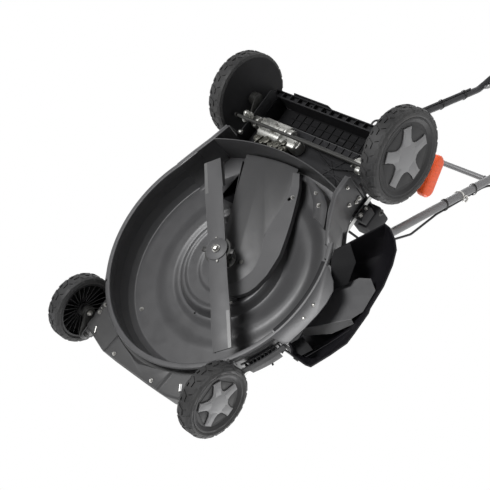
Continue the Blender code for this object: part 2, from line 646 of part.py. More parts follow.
# Gearbox and drive shaft.
GEARBOX_L = -0.166
GEARBOX_R = -0.084
gearbox = hull("gearbox", [(x, y, z) for x in (GEARBOX_L, GEARBOX_R) for y, z in (
    (0.029, 0.120), (0.040, 0.112), (0.068, 0.112), (0.082, 0.124), (0.082, 0.150), (0.074, 0.158),
    (0.036, 0.158), (0.029, 0.150))], ALUMINIUM)
fuse(gearbox, hull("gearbox_neck", [(x, y, z) for x in (GEARBOX_R - 0.01, GEAR_PULLEY_X + 0.018)
                                    for y in (0.050, 0.080) for z in (0.126, 0.156)]),
     box("gearbox_lug", (-0.140, 0.040, 0.150), (-0.110, 0.076, BODY_TOP - SHEET - GAP)),
     rod("gearbox_input", "Z", (GEAR_PULLEY_X, GEAR_PULLEY_Y, 0.170), GEAR_SHAFT_R, 0.038))
cut(gearbox, rod("gearbox_bore", "X", (-0.12, SHAFT_Y, SHAFT_Z), SHAFT_R + PLAY, 0.3))
cut(deck, rod("input_hole", "Z", (GEAR_PULLEY_X, GEAR_PULLEY_Y, CEILING_Z), GEAR_SHAFT_R + 0.004, 0.03))

PINION_OUT = BODY_HALF + 0.058
shaft = turned("drive_shaft", [
    (0.0, PINION_OUT), (PINION_R, PINION_OUT), (PINION_R, PINION_OUT - PINION_L),
    (SHAFT_R, PINION_OUT - PINION_L), (SHAFT_R, PINION_L - PINION_OUT), (PINION_R, PINION_L - PINION_OUT),
    (PINION_R, -PINION_OUT), (0.0, -PINION_OUT)],
    "X", (0, SHAFT_Y, SHAFT_Z), ZINC, steps=20)

# Wheels.
ARM_REACH = math.hypot(PIVOT_DY, PIVOT_DZ)


def wheel(side, word, place, y, radius, width, out, depth, ring):
    """Tyre, rim and star-shaped hub cap on one stub axle."""
    spot = (side * out, y, radius)
    rim_r = radius - depth

    def h(d):
        return -d

    turned(place + "_tyre_" + word, [
        (rim_r + GAP, h(0.004)), (rim_r + 0.006, h(0.001)), (radius - 0.006, h(0.0)), (radius, h(0.005)),
        (radius, h(width - 0.005)), (radius - 0.006, h(width)), (rim_r + 0.006, h(width - 0.001)),
        (rim_r + GAP, h(width - 0.004))], "X", spot, RUBBER, side=side)
    web = WEB_DEPTH
    profile = [(STUB_R + PLAY, h(0.006)), (HUB_R, h(0.006)), (HUB_R, h(web)),
               (rim_r - 0.010, h(web)), (rim_r - RIM_WALL, h(0.003)), (rim_r, h(0.003)),
               (rim_r, h(width - 0.004)), (rim_r - RIM_WALL, h(width - 0.004)),
               (rim_r - RIM_WALL, h(web + WEB_T + 0.004)), (rim_r - RIM_WALL - 0.007, h(web + WEB_T))]
    if ring:
        inner = ring
        profile += [(inner + RING_WALL, h(web + WEB_T)), (inner + RING_WALL, h(web + WEB_T + 0.026)),
                    (inner, h(web + WEB_T + 0.026)), (inner, h(web + WEB_T))]
    profile += [(HUB_R, h(web + WEB_T)), (HUB_R, h(width - 0.012)), (STUB_R + PLAY, h(width - 0.012))]
    turned(place + "_rim_" + word, profile, "X", spot, GREY_PLASTIC, side=side)
    reach, arm_w = 0.62 * radius, 0.105 * radius
    core = 0.30 * radius
    star = []
    for k in range(5):
        mid = math.radians(90 + 72 * k)
        u, v = Vector((math.cos(mid), math.sin(mid))), Vector((-math.sin(mid), math.cos(mid)))
        for a, b in ((core * 0.95, -arm_w), (reach, -arm_w * 0.9), (reach, arm_w * 0.9),
                     (core * 0.95, arm_w)):
            p = u * a + v * b
            star.append((y + p.x, radius + p.y))
    lo, hi = sorted((side * (out - WEB_DEPTH + GAP), side * (out - 0.0035)))
    cap = plate(place + "_hub_cap_" + word, [star], "X", lo, hi, GREY_PLASTIC, spot)
    fuse(cap, turned(place + "_cap_dome_" + word, [
        (0.0, h(0.0)), (core * 0.7, h(0.0)), (core, h(0.003)), (core, h(WEB_DEPTH - 0.0006)),
        (0.0, h(WEB_DEPTH - 0.0006))], "X", spot, side=side, steps=12))
    cut(cap, rod(place + "_cap_recess_" + word, "X", (side * (out - WEB_DEPTH), y, radius), HUB_R + 0.001,
                 0.0084, steps=12))


def carrier(name, side, place_y, radius, width, out, depth, pivot, bore, pin, disc):
    """Swinging arm with its stub axle, its dust disc and a pin or a bore at its pivot."""
    py, pz = pivot
    spot = (side * out, place_y, radius)
    inner = out - width
    lo, hi = sorted((side * ARM_IN, side * (ARM_IN + ARM_T)))
    outline = arc(ARM_BOSS, 120, 300, 7, (place_y, radius)) + arc(ARM_BOSS, -60, 120, 7, (py, pz))
    arm = plate(name, [outline], "X", lo, hi, ZINC, (side * ARM_IN, py, pz))
    axle = turned(name + "_stub", [
        (0.0, -0.0105), (STUB_R, -0.0105), (STUB_R, 0.001 - width), (disc, 0.001 - width),
        (disc, -0.002 - width), (0.016, -0.002 - width), (0.016, ARM_IN + 0.002 - out),
        (0.0, ARM_IN + 0.002 - out)],
        "X", spot, side=side, steps=16)
    fuse(arm, axle)
    if pin:
        a, b = sorted((side * (ARM_IN + 0.002), side * (APRON_HALF - SHEET - 0.008)))
        fuse(arm, rod(name + "_pin", "X", ((a + b) / 2, py, pz), pin, b - a))
    tip = [(py + TIP_R * math.sin(TIP_LEAN) + s * 0.006, pz + TIP_R * math.cos(TIP_LEAN) + t)
           for s in (-1, 1) for t in (0.006,)]
    fuse(arm, hull(name + "_tip", [(x, y, z) for x in (lo + 0.0002, hi - 0.0002) for y, z in tip + [
        (py - 0.010, pz), (py + 0.010, pz), (tip[0][0] - 0.001, tip[0][1] - 0.006), (tip[1][0] + 0.001,
                                                                                     tip[1][1] - 0.006)]]))
    if bore:
        cut(arm, rod(name + "_bore", "X", (side * ARM_IN, py, pz), bore, 0.06))
    return arm


TIP_R = 0.045
TIP_LEAN = -ARM_TRAVEL / 2
RING_R = ARM_REACH + PINION_R + 0.0006
for side, word in SIDES:
    wheel(side, word, "rear", 0.0, REAR_R, REAR_W, REAR_OUT, TYRE_DEPTH_REAR, RING_R)
    wheel(side, word, "front", WHEELBASE, FRONT_R, FRONT_W, FRONT_OUT, TYRE_DEPTH_FRONT, 0)
    carrier("rear_arm_" + word, side, 0.0, REAR_R, REAR_W, REAR_OUT, TYRE_DEPTH_REAR,
            (SHAFT_Y, SHAFT_Z), SHAFT_R + PLAY, 0, REAR_R - TYRE_DEPTH_REAR - 0.0035)
    carrier("front_arm_" + word, side, WHEELBASE, FRONT_R, FRONT_W, FRONT_OUT, TYRE_DEPTH_FRONT,
            FRONT_PIVOT, 0, FRONT_PIN_R, 0.018)
    # Link bar along the top of the deck, joining the two arms' tips.
    tip_y = TIP_R * math.sin(TIP_LEAN)
    tip_z = TIP_R * math.cos(TIP_LEAN)
    a, b = sorted((side * (ARM_IN - GAP), side * (ARM_IN - GAP - 0.003)))
    y0, z0 = SHAFT_Y + tip_y, SHAFT_Z + tip_z
    y1, z1 = FRONT_PIVOT[0] + tip_y, FRONT_PIVOT[1] + tip_z
    mid_z = TOP_Z + 0.010
    line = [(y0 - 0.008, z0 + 0.006), (y0 - 0.008, z0 - 0.006), (y0 + 0.05, z0 - 0.006),
            (y1 - 0.085, mid_z - 0.004), (y1 - 0.03, z1 - 0.005), (y1 + 0.008, z1 - 0.005),
            (y1 + 0.008, z1 + 0.007), (y1 - 0.03, z1 + 0.007), (y1 - 0.085, mid_z + 0.005), (y0 + 0.05,
                                                                                             z0 + 0.006)]
    plate("height_link_" + word, [line], "X", a, b, ZINC, (side * (ARM_IN - GAP), y0, z0))

# Cutting height lever.
LEVER_AT = (BODY_HALF + SHEET + SEAT, -0.012, 0.152)
LEVER_T = 0.003
lever_line = arc(0.011, 180, 360, 9, LEVER_AT[1:]) + [(LEVER_AT[1] + 0.004, 0.235), (-0.030, 0.300),
                                                      (-0.044, 0.294),
                                                      (LEVER_AT[1] - 0.016, 0.228)]
lever = plate("height_lever", [lever_line], "X", LEVER_AT[0], LEVER_AT[0] + LEVER_T, ZINC, LEVER_AT)
fuse(lever, rod("lever_pin", "X", (LEVER_AT[0] - 0.002, *LEVER_AT[1:]), 0.004, 0.008))
cut(deck, rod("lever_pin_hole", "X", (BODY_HALF, *LEVER_AT[1:]), 0.004 + PLAY, 0.02))
grip_low, grip_high = Vector((-0.093, 0.288)), Vector((-0.014, 0.318))
grip_pts = []
for x, t in ((LEVER_AT[0] - 0.010, 0.016), (LEVER_AT[0] - 0.004, 0.021), (LEVER_AT[0] + 0.010, 0.021),
             (LEVER_AT[0] + 0.016, 0.016)):
    for p in (grip_low, grip_high):
        grip_pts += [(x, p.x + t * math.cos(a), p.y + t * math.sin(a)) for a in
                     [math.radians(30 * k) for k in range(12)]]
lever_grip = hull("lever_grip", grip_pts, ORANGE, LEVER_AT)
grip_room = box("grip_room", (LEVER_AT[0] - GAP, -0.050, 0.24),
                (LEVER_AT[0] + LEVER_T + GAP, -0.020, 0.3008))
cut(lever_grip, grip_room)

# Side flap and chute.
FLAP_ROD = (RIM_R + 0.007, 0.186)
flap_rod = rod("side_flap_rod", "Y", (FLAP_ROD[0], 0.40, FLAP_ROD[1]), 0.004, 0.216, ZINC, steps=14)
for y, word in ((0.2963, "back"), (0.5037, "front")):
    fuse(deck, hull("flap_post_" + word, [(x, yy, z) for yy in (y - 0.002, y + 0.002) for x, z in (
        (CEILING_R - 0.030, CEILING_Z + 0.001), (CEILING_R - 0.006, CEILING_Z + 0.001),
        (FLAP_ROD[0] - 0.006, 0.193), (FLAP_ROD[0] + 0.007, 0.193), (FLAP_ROD[0] + 0.007, 0.179),
        (FLAP_ROD[0] - 0.006, 0.168))]))
    cut(deck, rod("flap_post_hole_" + word, "Y", (FLAP_ROD[0], y, FLAP_ROD[1]), 0.004 + PLAY, 0.02,
                  steps=14))

CHUTE_T = 0.003
chute_low = [(RIM_R + x, y) for x, y in (
    (0.035, 0.262), (0.069, 0.186), (0.109, 0.188), (0.133, 0.222), (0.151, 0.313), (0.1605, 0.396),
    (0.154, 0.454), (0.127, 0.505), (0.089, 0.522), (0.057, 0.512))]


def chute_shell(w):
    """Hood corners: the throat against the deck and the lip out by the ground, pulled in by w."""
    out = [(RIM_R + 0.0185 - (0.02 if w else 0), y, z) for y in (OPEN_FROM + 0.004 + w, OPEN_TO - 0.004 - w)
           for z in (OPEN_LOW + 0.0 - (0.03 if w else 0), 0.163 - w)]
    mid = Vector((RIM_R + 0.092, 0.370))
    for x, y in chute_low:
        d = (Vector((x, y)) - mid).normalized() * w
        out.append((x - d.x, y - d.y, 0.084 - (0.03 if w else 0)))
        out.append((x - d.x - 0.006, y - d.y, 0.112 - w))
    out += [(RIM_R + 0.052, 0.318 + w, 0.1632 - w), (RIM_R + 0.052, 0.470 - w, 0.1632 - w),
            (RIM_R + 0.112, 0.250 + w, 0.138 - w), (RIM_R + 0.129, 0.470 - w, 0.1335 - w)]
    return out


chute = hull("side_chute", chute_shell(0.0), BLACK_PLASTIC)
cut(chute, hull("chute_hollow", chute_shell(CHUTE_T)))
cut(chute, box("chute_throat", (RIM_R - 0.003, 0.2, 0.05), (RIM_R + 0.0255, 0.6, 0.30)))
fuse(chute, box("chute_tongue", (CEILING_R + 0.0142, 0.330, 0.1575), (RIM_R + 0.047, 0.470, 0.1608)))

side_flap = hull("side_flap", [(x, y, z) for y in (0.300, 0.500) for x, z in (
    (FLAP_ROD[0] + 0.002, FLAP_ROD[1] + 0.006), (FLAP_ROD[0] + 0.002, FLAP_ROD[1] - 0.005),
    (RIM_R + 0.122, 0.1375), (RIM_R + 0.122, 0.141))], STEEL_PAINT, (FLAP_ROD[0], 0.40, FLAP_ROD[1]))
fuse(side_flap, rod("side_flap_barrel", "Y", (FLAP_ROD[0], 0.40, FLAP_ROD[1]), 0.0075, 0.200, steps=20))
cut(side_flap, rod("side_flap_bore", "Y", (FLAP_ROD[0], 0.40, FLAP_ROD[1]), 0.004 + PLAY, 0.3, steps=14))

# Engine.
block = turned("engine_block", [
    (CRANK_R + PLAY, CASE_TOP + 0.012), (0.030, CASE_TOP + 0.012), (0.034, CASE_TOP), (CASE_R - 0.008,
                                                                                       CASE_TOP),
    (CASE_R, CASE_TOP - 0.010), (CASE_R, CASE_LOW + 0.006), (CASE_R - 0.006, CASE_LOW), (CRANK_R + PLAY,
                                                                                         CASE_LOW)],
    "Z", (0, CRANK_Y, 0), ALUMINIUM, steps=24)
FOOT_R = 0.074
for k, deg in enumerate((90, 205, 335)):
    a = math.radians(deg)
    fuse(block, rod("engine_foot_%d" % k, "Z", (FOOT_R * math.cos(a), CRANK_Y + FOOT_R * math.sin(a),
                                                 (DISH_Z + SHEET + GAP + CASE_LOW + 0.01) / 2), 0.011,
                    CASE_LOW + 0.01 - DISH_Z - SHEET - GAP, steps=12))
CYL_Y = CRANK_Y + 0.165
fuse(block, box("cylinder_barrel", (-0.036, CRANK_Y + 0.05, 0.198), (0.036, CYL_Y + 0.02, 0.262)))
for k in range(6):
    y = CRANK_Y + 0.095 + 0.015 * k
    fuse(block, box("cylinder_fin_%d" % k, (-0.052, y, 0.196), (0.052, y + 0.004, 0.2655)))

flywheel = turned("flywheel", [
    (CRANK_R + PLAY, 0.306), (0.030, 0.306), (0.034, 0.302), (FLYWHEEL_R, 0.302), (FLYWHEEL_R, 0.284),
    (CRANK_R + PLAY, 0.284)], "Z", (0, CRANK_Y, 0), ALUMINIUM, steps=24)
SHROUD_LOW = CASE_TOP + 0.0065
for side, word in SIDES:
    a, b = sorted((side * 0.070, side * 0.1205))
    fuse(block, box("shroud_seat_" + word, (a, CRANK_Y + 0.004, CASE_TOP - 0.012),
                    (b, CRANK_Y + 0.022, SHROUD_LOW - GAP)))


def shroud_points(w):
    low = SHROUD_LOW - (0.02 if w else 0)
    out = []
    for z, k in ((low, 1.0), (SHROUD_TOP - 0.045, 1.0), (SHROUD_TOP - 0.015, 0.90), (SHROUD_TOP, 0.72)):
        for x, y in ((0.105, 0.298), (0.122, 0.325), (0.122, 0.480), (0.092, 0.560), (0.055, 0.585)):
            for s in (-1, 1):
                dx, dy = x * k - w, (y - 0.44) * k
                dy -= math.copysign(w, dy)
                out.append((s * dx, 0.44 + dy, z - (w if z > low else 0)))
    return out


shroud = hull("engine_shroud", shroud_points(0.0), ("shroud_plastic", (0.035, 0.035, 0.038), 0.4))
fuse(shroud, turned("recoil_dome", [
    (0.0, SHROUD_TOP + 0.030), (0.045, SHROUD_TOP + 0.030), (0.062, SHROUD_TOP + 0.024), (0.074,
                                                                                          SHROUD_TOP - 0.004),
    (0.0, SHROUD_TOP - 0.004)], "Z", (0, CRANK_Y, 0), steps=18))
cut(shroud, hull("shroud_hollow", shroud_points(WALL)))
cut(shroud, turned("recoil_hollow", [
    (0.0, SHROUD_TOP + 0.027), (0.043, SHROUD_TOP + 0.027), (0.059, SHROUD_TOP + 0.022), (0.070,
                                                                                          SHROUD_TOP - 0.02),
    (0.0, SHROUD_TOP - 0.02)], "Z", (0, CRANK_Y, 0), steps=18))
ROPE_Z = SHROUD_TOP + 0.012
ROPE_R = 0.0022
cut(shroud, rod("rope_hole", "Y", (0.030, CRANK_Y - 0.06, ROPE_Z), ROPE_R + SEAT, 0.06, steps=12))
rope_end = CRANK_Y - 0.084
recoil = tube("recoil_handle", [(0.030, CRANK_Y + 0.045, ROPE_Z), (0.030, rope_end - 0.004, ROPE_Z)],
              ROPE_R,
              BLACK_PLASTIC, (0.030, rope_end, ROPE_Z))
fuse(recoil, hull("recoil_grip", [(x, y, ROPE_Z + z) for x, z, k in (
    (-0.020, 0.0, 0.5), (0.080, 0.0, 0.5), (-0.012, 0.008, 1), (0.072, 0.008, 1), (-0.012, -0.008, 1),
    (0.072, -0.008, 1)) for y in (rope_end - 0.018, rope_end)]))

SHROUD_BACK = 0.298
tank = box("fuel_tank", (-0.112, SHROUD_BACK - 0.076, 0.282), (0.075, SHROUD_BACK - GAP, 0.372),
           ("tank_plastic", (0.05, 0.05, 0.052), 0.45),
           bevel=0.010)
NECK = (-0.060, 0.256)
fuse(tank, turned("tank_neck", [(0.0, 0.383), (0.018, 0.383), (0.018, 0.360), (0.0, 0.360)], "Z",
                  (*NECK, 0), steps=16))
cut(tank, turned("tank_inside", [(0.0, 0.40), (0.014, 0.40), (0.014, 0.365), (0.026, 0.355), (0.026, 0.300),
                                 (0.0, 0.300)], "Z", (*NECK, 0), steps=12))
fuel_cap = turned("fuel_cap", [
    (0.0, 0.397), (0.024, 0.397), (0.026, 0.394), (0.026, 0.378), (0.0185, 0.378),
    (0.0185, 0.3835), (0.0, 0.3835)],
    "Z", (*NECK, 0), BLACK_PLASTIC, steps=20)

air_filter = box("air_filter_cover", (0.122 + GAP, 0.370, 0.282), (0.168, 0.470, 0.348), BLACK_PLASTIC,
                 bevel=0.006)
muffler = box("muffler", (-0.150, 0.440, 0.196), (-0.092, 0.560, 0.262),
              ("muffler_steel", (0.12, 0.115, 0.11), 0.6, 0.7),
              bevel=0.006)
fuse(muffler, rod("muffler_pipe", "X", (-0.075, 0.530, 0.230), 0.010, 0.0445, steps=14))
fuse(muffler, rod("muffler_outlet", "X", (-0.153, 0.500, 0.215), 0.008, 0.010, steps=14))
OIL = (0.092, 0.330)
fuse(block, hull("oil_neck", [(x, y, z) for x, y, z in (
    (0.030, 0.350, 0.200), (0.030, 0.350, 0.230), (0.060, 0.335, 0.200), (0.085, 0.318, 0.215),
    (0.105, 0.318, 0.215), (0.105, 0.342, 0.215), (0.085, 0.345, 0.215), (0.085, 0.318, 0.250),
    (0.105, 0.318, 0.250), (0.105, 0.342, 0.250), (0.080, 0.342, 0.250))]))
oil_cap = turned("oil_filler_cap", [
    (0.0, 0.268), (0.012, 0.268), (0.014, 0.265), (0.014, 0.2503), (0.0, 0.2503)], "Z", (0.094, 0.330, 0),
    BLACK_PLASTIC, steps=24)

# Handle.


def side_path(x, pairs):
    return [(x, y, z) for y, z in pairs]


FOLD_DIR = (Vector(FOLD) - Vector(HANDLE_KNEE)).normalized()
OVERLAP = 0.010
LOW_END = Vector(FOLD) + FOLD_DIR * OVERLAP
low_right = rounded(side_path(HANDLE_HALF, [HANDLE_FOOT, HANDLE_KNEE, tuple(LOW_END)]), 0.045)
low_left = [Vector((-p[0], p[1], p[2])) for p in low_right]
lower = tube("lower_handle", low_right, TUBE_R, TUBE_GREY, resolution=2)
brace_at = Vector(FOLD) - FOLD_DIR * 0.115
BRACE = (brace_at.x, brace_at.y)
fuse(lower, tube("lower_left_tube", low_left, TUBE_R, resolution=2),
     rod("lower_brace", "X", (0, *BRACE), 0.0075, 2 * HANDLE_HALF, steps=16))
UPPER_HALF = HANDLE_HALF - 2 * TUBE_R - GAP
UP_START = Vector(FOLD) - FOLD_DIR * OVERLAP
upper_side = side_path(UPPER_HALF, [tuple(UP_START), GRIP_KNEE, GRIP_END])
upper_path = rounded(upper_side + [(-x, y, z) for x, y, z in reversed(upper_side)], 0.060, 4)
upper = tube("upper_handle", upper_path, TUBE_R, TUBE_BLACK, (0, *FOLD), resolution=2)
for side, word in SIDES:
    bolt_hole = rod("fold_hole_" + word, "X", (side * HANDLE_HALF, *FOLD), KNOB_BOLT_R + PLAY, 0.09,
                    steps=12)
    cut(lower, bolt_hole)
    cut(upper, bolt_hole)
    inner = UPPER_HALF - TUBE_R
    outer = HANDLE_HALF + TUBE_R + GAP
    turned("fold_knob_" + word, [
        (0.0, outer + 0.020), (KNOB_R * 0.8, outer + 0.020), (KNOB_R, outer + 0.015), (KNOB_R,
                                                                                       outer + 0.006),
        (KNOB_R * 0.55, outer), (KNOB_BOLT_R, outer), (KNOB_BOLT_R, inner - GAP), (0.0065, inner - GAP),
        (0.0065, inner - 0.006), (0.0, inner - 0.006)], "X", (0, *FOLD), BLACK_PLASTIC, steps=16, side=side)

# Plastic brackets that hold the handle's feet on the deck.
BRACKET_Y = (0.098, 0.160)
for side, word in SIDES:
    a, b = sorted((side * (BODY_HALF - 0.024), side * (BODY_HALF + 0.0005)))
    c, d = sorted((side * (BODY_HALF - 0.024), side * (HANDLE_HALF + TUBE_R + 0.0035)))
    bracket = box("handle_bracket_" + word, (a, BRACKET_Y[0], BODY_TOP + GAP), (b, BRACKET_Y[1], 0.262),
                  BLACK_PLASTIC)
    fuse(bracket, box("bracket_cheek_" + word, (c, BRACKET_Y[0], 0.206), (d, BRACKET_Y[1], 0.2635)))
    socket = [Vector((p[0] * side, p[1], p[2])) for p in low_right]
    socket.insert(0, socket[0] + (socket[0] - socket[1]).normalized() * GAP)
    cut(bracket, tube("bracket_bore_" + word, socket, TUBE_R + GAP, resolution=2))

# Bails.
GRIP_DIR = (Vector(GRIP_END) - Vector(GRIP_KNEE)).normalized()
GRIP_UP = Vector((GRIP_DIR.y, -GRIP_DIR.x))
if GRIP_UP.y < 0:
    GRIP_UP = -GRIP_UP
BAIL_HALF = UPPER_HALF - TUBE_R - BAIL_R - 2 * SEAT
HOLE_DEPTH = 0.006


def bail(name, along, lift, reach, half_width, look):
    """Wire loop hinged inside the handle's sides, standing off the grip."""
    pivot = Vector(GRIP_KNEE) + GRIP_DIR * along
    end = pivot + GRIP_DIR * reach + GRIP_UP * lift
    tip = UPPER_HALF - TUBE_R + HOLE_DEPTH - PLAY
    half = [(tip, pivot.x, pivot.y), (half_width, pivot.x, pivot.y), (half_width, end.x, end.y)]
    path = rounded(half + [(-x, y, z) for x, y, z in reversed(half)], 0.012, 4)
    obj = tube(name, path, BAIL_R, look, (0, pivot.x, pivot.y))
    for side, word in SIDES:
        cut(upper, rod(name + "_hole_" + word, "X", (side * (UPPER_HALF - TUBE_R), pivot.x, pivot.y),
                       BAIL_R + 0.0004, 2 * HOLE_DEPTH, steps=10))
    return obj


GRIP_LENGTH = (Vector(GRIP_END) - Vector(GRIP_KNEE)).length
STOP_AT = 0.045
DRIVE_AT = 0.020
STOP_REST = math.radians(30)
DRIVE_REST = math.radians(-28)
for name, at, rest, half_width, look in (
        ("stop_bail", STOP_AT, STOP_REST, BAIL_HALF, ("bail_black", (0.03, 0.03, 0.032), 0.4, 0.3)),
        ("drive_bail", DRIVE_AT, DRIVE_REST, BAIL_HALF - 0.010,
         ("bail_grey", (0.30, 0.30, 0.31), 0.4, 0.5))):
    reach = GRIP_LENGTH - at
    bail(name, at, reach * math.sin(rest), reach * math.cos(rest), half_width, look)

# Cables, clipped along the tubes and parted at the fold.
KEEP = TUBE_R + CABLE_R + GAP
UNDER = KEEP + 0.0045
LOW_NORMAL = Vector((-FOLD_DIR.y, FOLD_DIR.x))
if LOW_NORMAL.y < 0:
    LOW_NORMAL = -LOW_NORMAL
UP_DIR = (Vector(GRIP_KNEE) - Vector(FOLD)).normalized()
UP_NORMAL = Vector((-UP_DIR.y, UP_DIR.x))
if UP_NORMAL.y < 0:
    UP_NORMAL = -UP_NORMAL


def along(base, direction, normal, x, distance, off):
    p = Vector(base) + direction * distance + normal * off
    return (x, p.x, p.y)


def cable_low(name, side, end, look):
    """Lower part of a cable: from under the fold, round the tube, along its top and on to what it works."""
    x, out = side * HANDLE_HALF, side * (HANDLE_HALF + UNDER)

    def at(px, distance, off):
        return along(FOLD, FOLD_DIR, LOW_NORMAL, px, distance, off)

    pts = [at(side * UPPER_HALF, 0.0, -UNDER), at(side * (UPPER_HALF + 0.004), -0.016, -UNDER),
           at(x, -0.045, -UNDER), at(out, -0.060, -UNDER), at(out, -0.092, UNDER), at(x, -0.108, UNDER),
           at(x, -0.140, KEEP),
           at(x, -0.330, KEEP + 0.004), at(x, -0.430, KEEP + 0.022)] + end
    return tube(name, rounded(pts, 0.030, 3), CABLE_R, look, resolution=1)


def cable_up(name, side, reach, look):
    """Upper part, along the underside of the upper tube to a bail."""
    x = side * UPPER_HALF
    pts = [along(FOLD, UP_DIR, UP_NORMAL, x, 0.0012, -UNDER - 0.0004),
           along(FOLD, UP_DIR, UP_NORMAL, x, 0.050, -KEEP),
           along(FOLD, UP_DIR, UP_NORMAL, x, reach, -KEEP)]
    return tube(name, pts, CABLE_R, look, (0, *FOLD), resolution=1)


CABLE = ("cable_black", (0.02, 0.02, 0.022), 0.5)
stop_in = Vector((-0.718, -0.696)) * (CASE_R + 0.0008) + Vector((0, CRANK_Y))
stop_out = Vector((-0.718, -0.696)) * (CASE_R + 0.040) + Vector((0, CRANK_Y))
cable_low("stop_cable_lower", -1, [(-BODY_HALF, 0.170, 0.300), (-0.165, 0.225, 0.250), (*stop_out, 0.232),
                                   (*stop_in, 0.232)],
          CABLE)
cable_low("drive_cable_lower", 1, [(BODY_HALF, 0.170, 0.300), (0.150, 0.175, 0.225), (0.085, 0.125, 0.195),
                                   (0.035, 0.086, 0.195), (0.035, 0.086, BODY_TOP + GAP)], CABLE)
UP_LENGTH = (Vector(GRIP_KNEE) - Vector(FOLD)).length
cable_up("stop_cable_upper", -1, UP_LENGTH - 0.045, CABLE)
cable_up("drive_cable_upper", 1, UP_LENGTH - 0.045, CABLE)

# Put the middle of the base at the origin.
def bounds():
    """Corners of all evaluated parts, and their triangle count."""
    bpy.context.view_layer.update()
    graph = bpy.context.evaluated_depsgraph_get()
    low, high, total = Vector((9, 9, 9)), Vector((-9, -9, -9)), 0
    for obj in parts.objects:
        if obj.type != "MESH":
            continue
        mesh = obj.evaluated_get(graph).to_mesh()
        mesh.calc_loop_triangles()
        total += len(mesh.loop_triangles)
        for v in mesh.vertices:
            p = obj.matrix_world @ v.co
            low = Vector([min(a, b) for a, b in zip(low, p)])
            high = Vector([max(a, b) for a, b in zip(high, p)])
    return low, high, total


low, high, total = bounds()
root.location = (-(low.x + high.x) / 2, -(low.y + high.y) / 2, -low.z)
bpy.context.view_layer.update()
print("nodes", sum(o.type == "MESH" for o in parts.objects), "triangles", total)
print("size", [round(c, 4) for c in high - low], "shift", [round(c, 5) for c in root.location])
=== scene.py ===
"""Looks of a petrol lawn mower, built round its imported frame.

All sizes are in metres. Pieces are modelled in the mower's own axes: X to its right, Y forward, Z up,
ground at z = 0 and the rear wheels' axis at y = 0. SHIFT carries them into the frame's axes.
"""
import math

import bmesh
import bpy
from bpy.props import FloatProperty, FloatVectorProperty, IntProperty, PointerProperty
from mathutils import Matrix, Vector


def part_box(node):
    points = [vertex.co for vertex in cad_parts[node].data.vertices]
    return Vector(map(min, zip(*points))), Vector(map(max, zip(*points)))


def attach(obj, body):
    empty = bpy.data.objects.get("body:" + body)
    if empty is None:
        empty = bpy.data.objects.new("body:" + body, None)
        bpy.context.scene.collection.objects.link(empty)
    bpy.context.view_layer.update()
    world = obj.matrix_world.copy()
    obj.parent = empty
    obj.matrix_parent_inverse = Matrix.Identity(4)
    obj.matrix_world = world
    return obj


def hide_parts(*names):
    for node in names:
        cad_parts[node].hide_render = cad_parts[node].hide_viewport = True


bl_info = {
    "name": "Petrol lawn mower",
    "version": (1, 0, 0),
    "blender": (4, 5, 0),
    "location": "3D View > Sidebar > Mower",
    "description": "Dresses a walk-behind petrol lawn mower: deck, wheels, engine, chute and handle",
    "category": "Add Mesh",
}

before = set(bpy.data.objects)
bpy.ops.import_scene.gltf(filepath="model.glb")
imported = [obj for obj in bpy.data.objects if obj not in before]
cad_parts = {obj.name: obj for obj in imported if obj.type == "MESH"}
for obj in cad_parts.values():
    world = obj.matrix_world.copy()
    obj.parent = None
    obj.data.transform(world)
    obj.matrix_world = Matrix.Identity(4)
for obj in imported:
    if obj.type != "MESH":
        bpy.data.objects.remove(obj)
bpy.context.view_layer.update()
SIDES = ((1, "right"), (-1, "left"))


def box_middle(node):
    low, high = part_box(node)
    return (low + high) / 2


CRANK_Y = 0.396
SHIFT = Vector((box_middle("crankshaft").x, box_middle("crankshaft").y - CRANK_Y, 0.0))

# Places that several pieces share: (y, z) of the drive shaft, which the rear arms swing about, and of the
# front pivots; (x, y) of the gearbox's pulley, the fuel neck and the oil neck; (x, z) of the flap's rod and
# of the starter's rope.
SHAFT = (0.047, 0.1403)
FRONT_PIVOT = (0.731, 0.1123)
PIVOTS = {"rear": SHAFT, "front": FRONT_PIVOT}
PIVOT_BORE = 0.0053
GEAR_PULLEY = (-0.04, 0.066)
FUEL_NECK = (-0.06, 0.256)
OIL_NECK = (0.094, 0.33)
FLAP_X, FLAP_Z = 0.29, 0.186
ROPE_X, ROPE_Z = 0.03, 0.407
# Each wheel's y, radius, width and the x of its outer face.
WHEELS = {"rear": (0.0, 0.114, 0.048, 0.277), "front": (0.684, 0.086, 0.045, 0.2655)}

# The photograph's camera, in the mower's axes.
CAMERA_AT = Vector((1.52076, 0.72082, -1.62506))
CAMERA_RIGHT = Vector((0.67766, -0.57865, 0.4538))
CAMERA_DOWN = Vector((0.36206, 0.79966, 0.47901))
CAMERA_AHEAD = Vector((-0.64007, -0.1603, 0.75141))
CAMERA_LENS = 73.1


# Node groups shared by the finishes.

def new_group(name, inputs, outputs):
    """An empty shader group with the named sockets; returns its tree and its two end nodes."""
    tree = bpy.data.node_groups.new(name, "ShaderNodeTree")
    for kind, label, default in inputs:
        socket = tree.interface.new_socket(name=label, in_out="INPUT", socket_type=kind)
        if default is not None:
            socket.default_value = default
    for kind, label in outputs:
        tree.interface.new_socket(name=label, in_out="OUTPUT", socket_type=kind)
    return tree, tree.nodes.new("NodeGroupInput"), tree.nodes.new("NodeGroupOutput")


def node(tree, kind, **values):
    """A new node; keys that name sockets set them, the others set properties."""
    made = tree.nodes.new(kind)
    for key, value in values.items():
        if key in made.inputs:
            made.inputs[key].default_value = value
        else:
            setattr(made, key, value)
    return made


